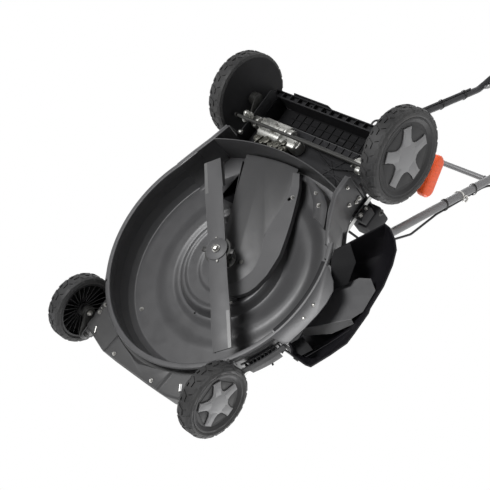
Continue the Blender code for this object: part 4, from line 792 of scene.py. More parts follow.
RIM_Z = 0.077
CEILING_Z = 0.165
BACK_R, BACK_Y = 0.605, 0.7195
ROOF_END = [(-0.164, 0.262), (-0.088, 0.262)]
SIDE_LINE = {
    "right": [(0.2005, 0.109), (0.2005, 0.158), (0.22, 0.2036), (0.2475, 0.248), (0.2655, 0.272)],
    "left": [(-0.2005, 0.109), (-0.2175, 0.1575), (-0.2375, 0.2034), (-0.258, 0.256)]}


def back_line(radius, left, right, count=40):
    """Points of the back wall's curve, from left to right."""
    xs = [left + (right - left) * k / (count - 1) for k in range(count)]
    return [(x, BACK_Y - math.sqrt(radius ** 2 - x ** 2)) for x in xs]


def shifted(line, side, distance):
    return [(x + side * distance, y) for x, y in line]


def offset_line(line, distance):
    """A (radius, height) line moved sideways, to its left."""
    out = []
    for i, p in enumerate(line):
        a, b = line[max(i - 1, 0)], line[min(i + 1, len(line) - 1)]
        d = Vector((b[0] - a[0], b[1] - a[1])).normalized()
        out.append((p[0] - d.y * distance, p[1] + d.x * distance))
    return out


def line_2d(points, radius, steps=4):
    return [(p.x, p.y) for p in rounded([(r, z, 0) for r, z in points], radius, steps)]


def ease(value, start, end):
    t = min(max((value - start) / (end - start), 0.0), 1.0)
    return t * t * (3 - 2 * t)


def pressed(x, y):
    """Height of the rings pressed into the ceiling, wider towards the discharge side."""
    r = math.hypot(x, y)
    w = 0.5 + 0.5 * math.cos(math.atan2(y, x) + 0.3)
    w *= w
    deep = 0.005 + 0.006 * w
    z = -0.013 - 0.003 * ease(r, 0.077, 0.087) - 0.0035 * ease(r, 0.113, 0.122) + 0.02 * ease(r, 0.128,
        0.143)
    z -= deep * ease(r, 0.145, 0.162 + 0.04 * w)
    return z + (deep - 0.0005) * ease(r, 0.176 + 0.032 * w, 0.215 + 0.026 * w)


class MOWER_OT_deck(bpy.types.Operator):
    """Pressed steel deck: ring, back walls, sill with its seal, baffle and flap posts"""
    bl_idname = "mower.deck"
    bl_label = "Deck"

    def execute(self, context):
        well = [(0.028 + 0.234 * k / 78, CEILING_Z) for k in range(79)]
        wall = line_2d([(0.262, CEILING_Z), (0.2735, CEILING_Z), (0.285, 0.153), (0.2925, 0.128),
            (0.2925, 0.104), (0.2895, 0.0905), (0.2892, 0.0845)], 0.006, 5)
        under = well + wall[1:]
        over = offset_line(under, 0.003)
        lip = line_2d([under[-1], (0.2892, 0.079), (0.2905, RIM_Z), (0.3005, RIM_Z), (0.303, 0.079),
            (0.303, 0.0835), (0.3005, 0.086), (0.2945, 0.0862), (over[-1][0] + 0.0008,
            over[-1][1] + 0.0035)], 0.0016, 3)
        ring = turned(under + lip[1:-1] + over[::-1][1:], "Z", (0, CRANK_Y, 0), 160)
        for v in ring.verts:
            if v.co.z > 0.12:
                v.co.z += pressed(v.co.x, v.co.y - CRANK_Y)
        slit = sheet(arc(0.296, -19, 20, 24) + arc(0.2825, 20, -19, 24), "Z", 0.06, 0.0985)
        side = block((0.235, 0.303, 0.0905), (0.36, 0.497, 0.15))
        roof = sheet(arc(0.262, 251, 233, 6) + ROOF_END, "Z", 0.13, 0.19)
        holes = [drum("Z", (-0.007, 0.541, 0.16), 0.003, 0.03, 16)]
        rooms = [drum("X", (s * 0.243, 0.6783, 0.1013), 0.0876, 0.048, 64) for s, w in SIDES]
        hub = drum("Z", (*GEAR_PULLEY, CEILING_Z), 0.009, 0.03, 24)
        room = sheet(arc(0.2672, -151, -26.5, 60) + arc(0.333, -26.5, -151, 60), "Z", 0.06, 0.1662)
        piece("deck_pressing", carved(ring, [slit, side, roof, hub, room] + holes + rooms), "deck_paint",
            "deck", ("deck_shell",), 40)

        lines = {word: [(p.x, p.y) for p in rounded([(x, y, 0) for x, y in SIDE_LINE[word]], 0.05, 6)]
                 for s, word in SIDES}
        plate = sheet([(-0.203, 0.015), (0.203, 0.015)] + shifted(lines["right"], 1, 0.0015)
            + arc(0.262, -26, -152, 60) + shifted(lines["left"], -1, 0.0015)[::-1], "Z", 0.1648, 0.1678,
            0.0004)
        walls = []
        back = [carved(plate, [sheet(arc(0.266, 251, 233, 6) + ROOF_END, "Z", 0.13, 0.19),
            drum("Z", (*GEAR_PULLEY, CEILING_Z), 0.009, 0.03, 24)])]
        for s, word in SIDES:
            a, b = sorted((s * 0.2, s * 0.203))
            wall = sheet([(-0.045, 0.158), (-0.045, 0.128), (-0.039, 0.122), (0.111, 0.122),
                (0.111, 0.1664), (-0.035, 0.1664)], "X", a, b, 0.0007)
            bores = [drum("X", (s * 0.2, *SHAFT), PIVOT_BORE, 0.03, 24)]
            if s > 0:
                bores.append(drum("X", (s * 0.2, -0.012, 0.152), 0.0043, 0.03, 24))
            walls.append(carved(wall, bores))
            line = lines[word]
            skirt = bmesh.new()
            rows = []
            for z, lean in ((0.0778, 0.003), (0.0905, 0.0022), (0.104, 0.0), (0.128, 0.0), (0.141, 0.003),
                    (0.153, 0.008), (0.16, 0.0125), (0.1664, 0.019)):
                row = []
                for i, (x, y) in enumerate(line):
                    t = ease(i / (len(line) - 1), 0.25, 1.0) * lean
                    away = Vector((x, y - CRANK_Y)).normalized()
                    row.append(skirt.verts.new((x + s * 0.0015 - away.x * t, y - away.y * t, z)))
                rows.append(row)
            quads(skirt, rows)
            thickened(skirt, 0.0024)
            low, high = (-0.0095, 0.002) if s > 0 else (0.0008, 0.0095)
            lip = [Vector((x + s * (low if s > 0 else high), y, 0.0795)) for x, y in line]
            web = sheet(shifted(line, s, low) + shifted(line, s, high)[::-1], "Z", 0.0776, 0.0796, 0.0004)
            edge = swept(lip, 0.0024, 12)
            corner = sheet([(0.1085, 0.079), (0.1085, 0.1664), (0.1065, 0.1664), (0.1, 0.123),
                (0.1065, 0.079)], "X", a + (0.0004 if s > 0 else -0.0006),
                b + (0.0006 if s > 0 else -0.0004), 0.0006)
            back += [skirt, web, edge, corner]
        curve = sheet(back_line(BACK_R, -0.2165, 0.202) + back_line(0.6032, -0.2165, 0.202)[::-1], "Z",
            0.0785, 0.1664, 0.0003)
        hem = swept([Vector((x, y, 0.0785)) for x, y in back_line(0.604, -0.2165, 0.202)], 0.0014, 10)
        piece("deck_back", joined(*back, curve, hem), "deck_paint", "deck", ("deck_shell",))
        # The deck's rear side walls are painted steel; the black plastic finish on them is painted shade.
        piece("body_walls_painted_shade", joined(*walls), "black_plastic", "deck", ("deck_shell",))

        sill = sheet(arc(0.2995, -17, 19, 24) + [(0.28, 0.507), (0.313, 0.507), (0.326, 0.496),
            (0.337, 0.455), (0.344, 0.416), (0.346, 0.386), (0.342, 0.355), (0.329, 0.337), (0.3, 0.316)],
            "Z", 0.0775, 0.0805, 0.001)
        piece("discharge_sill", sill, "deck_paint", "deck", ("deck_shell",))

        inner = even(rounded([(0.0445, 0.129, 0.14), (0.08, 0.154, 0.14), (0.108, 0.176, 0.139),
            (0.133, 0.206, 0.137), (0.14, 0.215, 0.134)], 0.04, 6), 28)
        middle = even(rounded([(0.07, 0.131, 0.127), (0.105, 0.152, 0.124), (0.134, 0.176, 0.123),
            (0.16, 0.212, 0.123)], 0.04, 6), 28)
        outer = even(rounded([(0.095, 0.137, 0.133), (0.129, 0.153, 0.131), (0.16, 0.177, 0.129),
            (0.188, 0.227, 0.128)], 0.04, 6), 28)
        web = bmesh.new()
        rows = []
        for t in [k / 8 for k in range(9)]:
            # Curves from the inner line to the outer one, drawn towards the middle one.
            row = []
            for a, b, c in zip(inner, middle, outer):
                row.append(web.verts.new(Vector(a) * (1 - t) ** 2 + Vector(b) * 2 * t * (1 - t)
                    + Vector(c) * t ** 2))
            rows.append(row)
        rows.append([web.verts.new(v.co + Vector((0.002, -0.001, 0.033))) for v in rows[-1]])
        quads(web, rows)
        piece("rear_baffle", thickened(web, 0.002), "deck_paint", "deck", ("deck_shell",))

        seal = sheet(arc(0.2975, -18.5, 19.5, 24) + arc(0.28, 19.5, -18.5, 24), "Z", 0.0865, 0.089, 0.0006)
        piece("discharge_seal", seal, "black_plastic", "deck")

        posts = []
        for y in (0.2963, 0.5037):
            line = [(0.238, 0.1655), (0.262, 0.1655), (0.284, 0.168), (0.297, 0.179), (0.297, 0.193),
                (0.284, 0.193)]
            post = sheet(line, "Y", y - 0.002, y + 0.002, 0.0006)
            back, ahead = (0.01, 0.002) if y < CRANK_Y else (0.002, 0.01)
            posts += [carved(post, [drum("Y", (FLAP_X, y, FLAP_Z), 0.0043, 0.02, 24)]),
                block((0.238, y - back, 0.1682), (0.264, y + ahead, 0.1702), 0.0006)]
        piece("flap_posts", joined(*posts), "deck_paint", "deck", ("deck_shell",))
        return {"FINISHED"}


def even(line, count):
    """The line's points spread evenly along it."""
    pts = [Vector(p) for p in line]
    marks = [0.0]
    for a, b in zip(pts, pts[1:]):
        marks.append(marks[-1] + (b - a).length)
    out = []
    for k in range(count):
        d = marks[-1] * k / (count - 1)
        i = min(max(j for j in range(len(marks)) if marks[j] <= d + 1e-9), len(pts) - 2)
        out.append(pts[i].lerp(pts[i + 1], (d - marks[i]) / (marks[i + 1] - marks[i])))
    return out


COVER_Z = 0.1385


class MOWER_OT_belt_cover(bpy.types.Operator):
    """Pressed cover under the drive belt, with its nut and hole"""
    bl_idname = "mower.belt_cover"
    bl_label = "Belt cover"

    def execute(self, context):
        fold = [(0.0076, 0.133), (0.03, 0.17), (0.041, 0.215), (0.044, 0.261), (0.048, 0.3),
            (0.0732, 0.346), (0.0846, 0.384), (0.072, 0.42), (0.05, 0.445), (0.034, 0.454)]
        outer = [(0.03, 0.13), (0.056, 0.164), (0.078, 0.21), (0.094, 0.245), (0.109, 0.284),
            (0.1247, 0.33), (0.1285, 0.385), (0.118, 0.435), (0.093, 0.459), (0.07, 0.47)]
        fold, outer = [rounded([(x, y, z) for x, y in line], 0.05, 4) for line, z in ((fold, COVER_Z),
            (outer, COVER_Z - 0.005))]
        rear = [(x, y + 0.0022) for x, y in back_line(0.603, -0.152, 0.015, 16)]
        plate = sheet(rear + [(p.x, p.y) for p in fold[1:]] + [(0.01, 0.456), (-0.02, 0.444),
            (-0.044, 0.42), (-0.054, 0.39), (-0.056, 0.356), (-0.064, 0.325), (-0.074, 0.304)], "Z",
            COVER_Z, COVER_Z + 0.002, 0.0004)
        plate = carved(plate, [drum("Z", (0, CRANK_Y, 0.139), 0.024, 0.02, 48)])
        strip = bmesh.new()
        rows = [[strip.verts.new(p) for p in even(line, 22)] for line in (fold, outer)]
        rows.append([strip.verts.new(v.co + Vector((0.0015, -0.0005, 0.012))) for v in rows[1]])
        quads(strip, rows)
        strip = carved(thickened(strip, 0.0018), [drum("Z", (0.0475, 0.197, 0.138), 0.005, 0.03, 24)])
        lips = [block((0.024, 0.18, 0.1395), (0.04, 0.183, 0.1647), 0.0005),
            block((0.072, 0.463, 0.137), (0.092, 0.465, 0.148), 0.0005),
            wrapped([(x, y, z) for x, y in ((-0.153, 0.156), (-0.151, 0.156), (-0.078, 0.292),
            (-0.076, 0.292)) for z in (0.139, 0.15)], 0.0004)]
        # The plate and the strip are the deck's painted steel; the plate's darker colour is painted shade,
        # the strip's lighter colour painted highlight.
        piece("belt_cover_plate", joined(plate, *lips), "belt_plate_painted_shade", "deck", ("belt_cover",))
        piece("belt_cover_strip", strip, "belt_strip_painted_highlight", "deck", ("belt_cover",))
        piece("belt_cover_nut", hex_bolt((0.055, 0.19, 0.136), (0, 0, -1), 0.007, 0.004, 0.0055),
            "bolt_steel", "deck")
        return {"FINISHED"}


class MOWER_OT_wheels(bpy.types.Operator):
    """Tyres with tread blocks, ribbed rims and star shaped hub caps"""
    bl_idname = "mower.wheels"
    bl_label = "Wheels"

    def tyre(self, centre, radius, width, depth, side, pitches):
        sizes = bpy.context.scene.mower_sizes
        low = radius - sizes.tread_depth
        rim_r = radius - depth
        shell = line_2d([(rim_r + 0.0004, 0.004), (rim_r + 0.004, 0.0012), (low - 0.0055, 0.0008),
            (low, 0.0058), (low, width / 2)], 0.0022, 3)
        shell = shell + [(r, width - h) for r, h in reversed(shell[:-1])]
        bm = turned([(r, -h) for r, h in shell], "X", centre, 112, side)
        step = 2 * math.pi / pitches
        for k in range(pitches):
            for flank, shift in ((0, 0.0), (1, 0.5)):
                a = (k + shift) * step
                # A block from this shoulder to just short of the tyre's middle, then two lugs down its wall.
                pts = []
                for d, t in ((0.01, 0.07), (0.01, 0.5), (width * 0.47, 0.7), (width * 0.47, 0.3)):
                    h = width - d if flank else d
                    for r in (low - 0.0009, radius - 0.0002):
                        pts.append(self.at(centre, side, r, h, a + t * step))
                bm = joined(bm, wrapped(pts))
                for lean, reach, tall in ((0.0, 0.0075, 0.62), (0.5, 0.0042, 0.3)):
                    pts = []
                    for t0, t1, d, r in ((0.04, tall, 0.0102, radius - 0.0002),
                            (0.04, tall, 0.0102, low - 0.0012), (0.04, tall, 0.0036, radius - 0.0028),
                            (0.1, tall - 0.06, 0.0002, radius - 0.0045 - reach),
                            (0.1, tall - 0.06, 0.0014, radius - 0.0045 - reach)):
                        h = width - d if flank else d
                        for t in (t0, t1):
                            pts.append(self.at(centre, side, r, h, a + (t + lean) * step))
                    bm = joined(bm, wrapped(pts))
        return bm

    @staticmethod
    def at(centre, side, r, h, ang):
        return (centre[0] - side * h, centre[1] + r * math.cos(ang), centre[2] + r * math.sin(ang))

    def rim(self, centre, radius, width, depth, side, ring, ribs):
        rim_r = radius - depth
        web = 0.0085
        line = [(0.0063, 0.006), (0.016, 0.006), (0.016, web), (rim_r - 0.012, web),
            (rim_r - 0.004, 0.0032), (rim_r, 0.0032), (rim_r, width - 0.0042),
            (rim_r - 0.0045, width - 0.0042), (rim_r - 0.003, width - 0.008), (rim_r - 0.003, web + 0.008),
            (rim_r - 0.009, web + 0.003)]
        if ring:
            line += [(ring + 0.004, web + 0.003), (ring + 0.004, web + 0.029), (ring, web + 0.029),
                (ring, web + 0.003)]
        line += [(0.016, web + 0.003), (0.016, width - 0.0125), (0.0145, width - 0.012),
            (0.0063, width - 0.012)]
        bm = turned([(r, -h) for r, h in line], "X", centre, 96, side)
        # Five raised panels between the arms of the cap.
        for k in range(5):
            mid = math.radians(90 + 36 + 72 * k)
            pts = []
            for r, t, h in ((0.03, 0.16, web - 0.0012), (rim_r - 0.016, 0.42, web - 0.0012),
                    (0.028, 0.18, web + 0.001), (rim_r - 0.014, 0.44, web + 0.001)):
                for s in (-1, 1):
                    pts.append(self.at(centre, side, r, h, mid + s * t))
            bm = joined(bm, wrapped(pts, 0.0006, 1))
        inner = ring + 0.004 if ring else 0.0165
        for k in range(ribs):
            u, v = ray(2 * math.pi * k / ribs)
            pts = []
            for r, h in ((inner - 0.0005, web + 0.002), (rim_r - 0.0028, web + 0.002),
                    (rim_r - 0.0028, width - 0.01), (inner - 0.0005, web + (0.022 if ring else 0.018))):
                for s in (-0.0009, 0.0009):
                    pts.append((centre[0] - side * h, centre[1] + u[0] * r + v[0] * s,
                        centre[2] + u[1] * r + v[1] * s))
            bm = joined(bm, wrapped(pts))
        return bm

    def cap(self, centre, radius, side):
        reach, core = 0.63 * radius, 0.33 * radius
        line = []
        for k in range(5):
            u, v = ray(math.radians(90 + 72 * k))
            for a, b in ((0.295, -0.16), (0.375, -0.125), (0.56, -0.108), (0.63, -0.122), (0.63, 0.122),
                    (0.56, 0.108), (0.375, 0.125), (0.295, 0.16)):
                p = u * (a * radius) + v * (b * radius)
                line.append((centre[1] + p.x, centre[2] + p.y))
        low, high = sorted((centre[0] - side * 0.0081, centre[0] - side * 0.0046))
        star = sheet(line, "X", low, high, 0.001, 2)
        star = carved(star, [drum("X", (centre[0] - side * 0.0085, centre[1], centre[2]), 0.017, 0.006,
            32)])
        dome = turned([(0.0, 0.0006), (core * 0.55, 0.0006), (core * 0.62, 0.0014), (core * 0.92, 0.0034),
            (core * 0.99, 0.0044), (core * 0.99, 0.0056), (0.0, 0.0056)], "X", centre, 60, -side)
        bm = joined(star, dome)
        for k in range(5):
            u, v = ray(math.radians(90 + 72 * k))
            pts = []
            for r, w, h in ((core * 0.7, 0.11 * radius, 0.005), (reach - 0.0022, 0.085 * radius, 0.005),
                    (core * 0.74, 0.085 * radius, 0.0022), (reach - 0.005, 0.06 * radius, 0.0034)):
                for s in (-1, 1):
                    pts.append((centre[0] - side * h, centre[1] + u[0] * r + s * v[0] * w,
                        centre[2] + u[1] * r + s * v[1] * w))
            bm = joined(bm, wrapped(pts, 0.0005, 1))
        return bm

    def execute(self, context):
        sizes = context.scene.mower_sizes
        for s, word in SIDES:
            for place, depth, ring, pitches, ribs in (("rear", 0.0205, 0.0664, sizes.tread_pitches, 20),
                    ("front", 0.0165, 0, sizes.tread_pitches - 6, sizes.rim_ribs)):
                y, radius, width, out = WHEELS[place]
                at = (s * out, y, radius)
                body = "%s_wheel_%s" % (place, word[0])
                piece("%s_tread_tyre_%s" % (place, word), self.tyre(at, radius, width, depth, s, pitches),
                    "tyre", body, ("%s_tyre_%s" % (place, word),), 25)
                piece("%s_ribbed_rim_%s" % (place, word), self.rim(at, radius, width, depth, s, ring, ribs),
                    "grey_plastic", body, ("%s_rim_%s" % (place, word),))
                piece("%s_star_cap_%s" % (place, word), self.cap(at, radius, s), "cap_plastic", body,
                    ("%s_hub_cap_%s" % (place, word),), 40)
        return {"FINISHED"}


class MOWER_OT_blade(bpy.types.Operator):
    """Blade with ground edges and lifted wings, its washer, bolt and adapter"""
    bl_idname = "mower.blade"
    bl_label = "Blade"

    def execute(self, context):
        place = placed(0, CRANK_Y, 45.8)
        half, low = 0.265, 0.0875
        line = [(-half, -0.0225), (-0.18, -0.025), (-0.172, -0.0235), (-0.08, -0.023), (0.08, -0.023),
            (0.18, -0.025), (half, -0.0225)]
        line += [(-x, -y) for x, y in line]
        plate = sheet(line, "Z", low, low + 0.003, 0.0005)
        plate = carved(plate, [drum("Z", (x, 0, low), r, 0.02, 24) for x, r in ((0, 0.0048),
            (0.033, 0.0035), (-0.033, 0.0035))])
        parts = [plate]
        for end in (-1, 1):
            under = [(0.01, low + 0.0004), (0.015, low + 0.0014), (0.0195, low + 0.005),
                (0.0228, low + 0.0095), (0.0252, low + 0.0135)]
            over = [(y - 0.0015, z + 0.0026) for y, z in reversed(under)]
            wing = sheet(under + over, "X", 0.187, 0.259, 0.0004)
            parts.append(moved(wing, Matrix.Rotation(0 if end > 0 else math.pi, 4, "Z")))
        blade = moved(joined(*parts), place)
        piece("blade_plate", blade, "blade_steel", "crank", ("blade",))
        edges = []
        for end in (-1, 1):
            edge = wrapped([(x, y, z) for x in (0.17, 0.2645) for y, z in ((-0.015, low - 0.0001),
                (-0.0232, low - 0.0001), (-0.024, low + 0.0024), (-0.0236, low + 0.0028))])
            edges.append(moved(edge, place @ Matrix.Rotation(0 if end > 0 else math.pi, 4, "Z")))
        piece("blade_edges", joined(*edges), "ground_edge", "crank")
        washer = turned([(0.0052, low - 0.0003), (0.026, low - 0.0003), (0.0285, low - 0.0012),
            (0.0285, low - 0.0022), (0.027, low - 0.003), (0.0052, low - 0.003)], "Z", (0, CRANK_Y, 0), 48)
        piece("blade_washer", washer, "blade_steel", "crank", ("blade_bolt",))
        bolt = joined(drum("Z", (0, CRANK_Y, low - 0.0042), 0.0105, 0.0022, 32, 0.0006, 1),
            drum("Z", (0, CRANK_Y, low - 0.0092), 0.0078, 0.008, 6, 0.0011, 2),
            drum("Z", (0, CRANK_Y, 0.1015), 0.0044, 0.036, 20))
        piece("blade_bolt_head", bolt, "bolt_steel", "crank", ("blade_bolt",))
        pins = [moved(drum("Z", (x, 0, low - tall / 2 + 0.001), 0.0031, tall + 0.002, 20, 0.0006, 1), place)
            for x, tall in ((0.033, 0.0026), (-0.033, 0.0008))]
        piece("blade_pins", joined(*pins), "bolt_steel", "crank")
        z = low + 0.0033
        adapter = turned([(0.0128, z), (0.0335, z), (0.0342, z + 0.0008), (0.0342, z + 0.0052),
            (0.0335, z + 0.006), (0.022, z + 0.0085), (0.0192, z + 0.011), (0.0192, z + 0.031),
            (0.0184, z + 0.032), (0.0128, z + 0.032)], "Z", (0, CRANK_Y, 0), 64)
        wings = [moved(block((-0.006, -0.044, z + 0.0001), (0.006, -0.03, z + 0.0058), 0.001),
            place @ Matrix.Rotation(math.radians(a), 4, "Z")) for a in (25, 205)]
        piece("blade_adapter_boss", joined(adapter, *wings), "dark_steel", "crank", ("blade_adapter",))
        return {"FINISHED"}


class MOWER_OT_apron(bpy.types.Operator):
    """Folded front apron with its raised middle, slots, bolts and nuts"""
    bl_idname = "mower.apron"
    bl_label = "Front apron"
    # x, y and turn of each slot.
    SLOTS = ((-0.17, 0.705, 60), (0.143, 0.702, 55), (0.152, 0.65, 35))

    @staticmethod
    def outline(inset, reach):
        half = 0.205 - inset
        front = [(half, 0.7135 - inset), (0.118, 0.7385 - inset), (0.06, 0.7405 - inset)]
        start = math.degrees(math.acos(half / reach))
        return front + [(-x, y) for x, y in reversed(front)] + arc(reach, 180 - start, start, 40)

    def execute(self, context):
        outline = self.outline(0.0, 0.2955)
        tray = sheet(outline, "Z", 0.098, 0.148)
        bottom = [e for e in tray.edges if all(v.co.z < 0.0985 and v.co.y > 0.7 for v in e.verts)]
        corners = [e for e in tray.edges
            if abs(e.verts[0].co.z - e.verts[1].co.z) > 0.04 and e.verts[0].co.y > 0.7]
        bmesh.ops.bevel(tray, geom=bottom + corners, offset=0.006, segments=4, profile=0.5, affect="EDGES",
            material=-1, clamp_overlap=True)
        hollow = sheet(self.outline(0.003, 0.305), "Z", 0.101, 0.2)
        slots = [moved(block((-0.009, -0.0022, 0.09), (0.009, 0.0022, 0.11), 0.0015), placed(x, y, a))
            for x, y, a in self.SLOTS]
        relief = turned([(0.2, 0.05), (0.2953, 0.05), (0.2953, 0.2), (0.2, 0.2)], "Z", (0, CRANK_Y, 0), 144)
        pins = [drum("X", (s * 0.205, *FRONT_PIVOT), PIVOT_BORE, 0.02, 24) for s, w in SIDES]
        tray = carved(tray, [hollow, relief] + slots + pins)
        front = [(-0.2032, 0.66)] + [(-x, y) for x, y in outline[:3]] + outline[:3][::-1] + [(0.2032, 0.66)]
        rolled = swept([(x, y - 0.0018, 0.1486) for x, y in front], 0.0018, 10)
        middle = bmesh.new()
        line = arc(0.3085, 110, 70, 24) + [(0.1, 0.7385), (0.055, 0.74), (-0.055, 0.74), (-0.112, 0.7385)]
        mid = Vector((0.0, 0.723))
        rings = []
        for k in range(9):
            t = k / 8
            ring = []
            for x, y in line:
                to = Vector((x - mid.x, y - mid.y))
                go = to * (1 - 0.012 * t / max(abs(to.x) * 0.9, abs(to.y), 0.006))
                ring.append(middle.verts.new((mid.x + go.x, mid.y + go.y, 0.0984 - 0.0052 * ease(t, 0.0,
                    1.0))))
            rings.append(ring)
        quads(middle, rings, True)
        middle.faces.new(rings[-1])
        middle.faces.new(rings[0][::-1])
        bmesh.ops.recalc_face_normals(middle, faces=middle.faces)
        ears = [sheet([(0.69, 0.1005), (0.7345, 0.1005), (0.7415, 0.105), (0.7435, 0.113), (0.7405, 0.121),
            (0.732, 0.126), (0.69, 0.1455)], "X", *sorted((s * 0.2022, s * 0.2048)), 0.0008)
            for s, w in SIDES]
        ears = [carved(ear, [drum("X", (s * 0.2035, *FRONT_PIVOT), PIVOT_BORE, 0.02, 24)])
            for ear, (s, w) in zip(ears, SIDES)]
        # The apron is the deck's painted steel; its darker colour is painted shade.
        piece("apron_tray", joined(tray, rolled, middle, *ears), "apron_painted_shade", "deck", ("front_apron",))
        tabs = [moved(wrapped([(x, y, z) for x in (-0.0085, 0.0085) for y, z in ((0.001, 0.0995),
            (0.0025, 0.0995), (-0.003, 0.0935), (-0.0015, 0.0932))]), placed(x, y + 0.0035, a))
            for x, y, a in self.SLOTS]
        piece("apron_tabs", joined(*tabs), "bolt_steel", "deck")
        heads = [hex_bolt((x, y, z), (0, 0, -1), a, 0.0035, w) for x, y, z, a, w in ((-0.071, 0.728, 0.0932,
            0.0065, 0.005), (0.068, 0.728, 0.0932, 0.0065, 0.005), (-0.194, 0.646, 0.098, 0.008, 0.006),
            (-0.195, 0.668, 0.098, 0.008, 0.006), (-0.1945, 0.657, 0.098, 0.0045, 0.003),
            (0.194, 0.646, 0.098, 0.008, 0.006), (0.195, 0.668, 0.098, 0.008, 0.006),
            (-0.152, 0.602, CEILING_Z, 0.007, 0.0055), (0.0405, 0.385, 0.1385, 0.007, 0.0055),
            (0.079, 0.48, 0.1525, 0.0105, 0.0082), (-0.067, 0.3645, 0.152, 0.0075, 0.0055),
            (0.109, 0.159, 0.1295, 0.0055, 0.0045), (0.138, 0.183, 0.129, 0.008, 0.0062))]
        heads += [hex_bolt((s * 0.205, 0.655, 0.132), (s, 0, 0), 0.008, 0.0035, 0.006) for s in (-1, 1)]
        heads += [hex_bolt((0.2034, y, z), (1, 0, 0), 0.006, 0.003, 0.0045)
            for y, z in ((0.128, 0.092), (0.132, 0.15))]
        heads += [rivet((x, y, 0.0775), (0, 0, -1), 0.0048, 0.0026) for x, y in ((0.321, 0.402),
            (0.32, 0.437))]
        piece("deck_fasteners", joined(*heads), "bolt_steel", "deck")
        return {"FINISHED"}


class MOWER_OT_fairing(bpy.types.Operator):
    """Plastic front fairing with slatted vents beside the front wheels"""
    bl_idname = "mower.fairing"
    bl_label = "Front fairing"

    def execute(self, context):
        parts = []
        for s, word in SIDES:
            for k in range(10):
                u, v = ray(math.radians(21.5 + 1.75 * k))
                pts = []
                for r, z in ((0.3035, 0.129), (0.3165, 0.124), (0.3195, 0.1035), (0.305, 0.1035)):
                    for t in (-0.0011, 0.0011):
                        p = u * r + v * t
                        pts.append((s * p.x, CRANK_Y + p.y, z))
                parts.append(wrapped(pts))
            for low_r, high_r, low, high in ((0.3172, 0.3202, 0.101, 0.117),
                    (0.3045, 0.3072, 0.101, 0.105)):
                band = turned([(low_r, low), (high_r, low), (high_r, high), (low_r, high)], "Z",
                    (0, CRANK_Y, 0), 16, sweep=19.0, start=20.0)
                bmesh.ops.holes_fill(band, edges=[e for e in band.edges if e.is_boundary])
                if s < 0:
                    bmesh.ops.scale(band, verts=band.verts, vec=(-1, 1, 1))
                parts.append(band)
        skin = turned([(0.2555, 0.171), (0.288, 0.171), (0.2985, 0.1655), (0.3045, 0.15), (0.306, 0.118),
            (0.3038, 0.118), (0.3022, 0.1495), (0.297, 0.164), (0.287, 0.1688), (0.2555, 0.1688)], "Z",
            (0, CRANK_Y, 0), 120)
        rooms = [block((-0.4, 0.0, 0.05), (0.4, 0.519, 0.3)), block((-0.23, 0.6, 0.05), (0.23, 0.8, 0.15))]
        for s, word in SIDES:
            a, b = sorted((s * 0.2115, s * 0.4))
            rooms.append(block((a, 0.584, 0.05), (b, 0.834, 0.3)))
        skin = carved(skin, rooms)
        piece("fairing_skin", skin, "black_plastic", "deck", ("front_fairing",))
        piece("fairing_vents", joined(*parts), "black_plastic", "deck")
        ribs = []
        for deg in range(30, 151, 10):
            u, v = ray(math.radians(deg))
            if abs(0.3 * u.x) > 0.205 and CRANK_Y + 0.3 * u.y > 0.575:
                continue
            pts = []
            for r, z in ((0.262, 0.1704), (0.3, 0.1704), (0.3, 0.1724), (0.264, 0.1724)):
                for t in (-0.0022, 0.0022):
                    p = u * r + v * t
                    pts.append((p.x, CRANK_Y + p.y, z))
            ribs.append(wrapped(pts, 0.0006, 1))
        piece("fairing_ribs", joined(*ribs), "black_plastic", "deck")
        return {"FINISHED"}


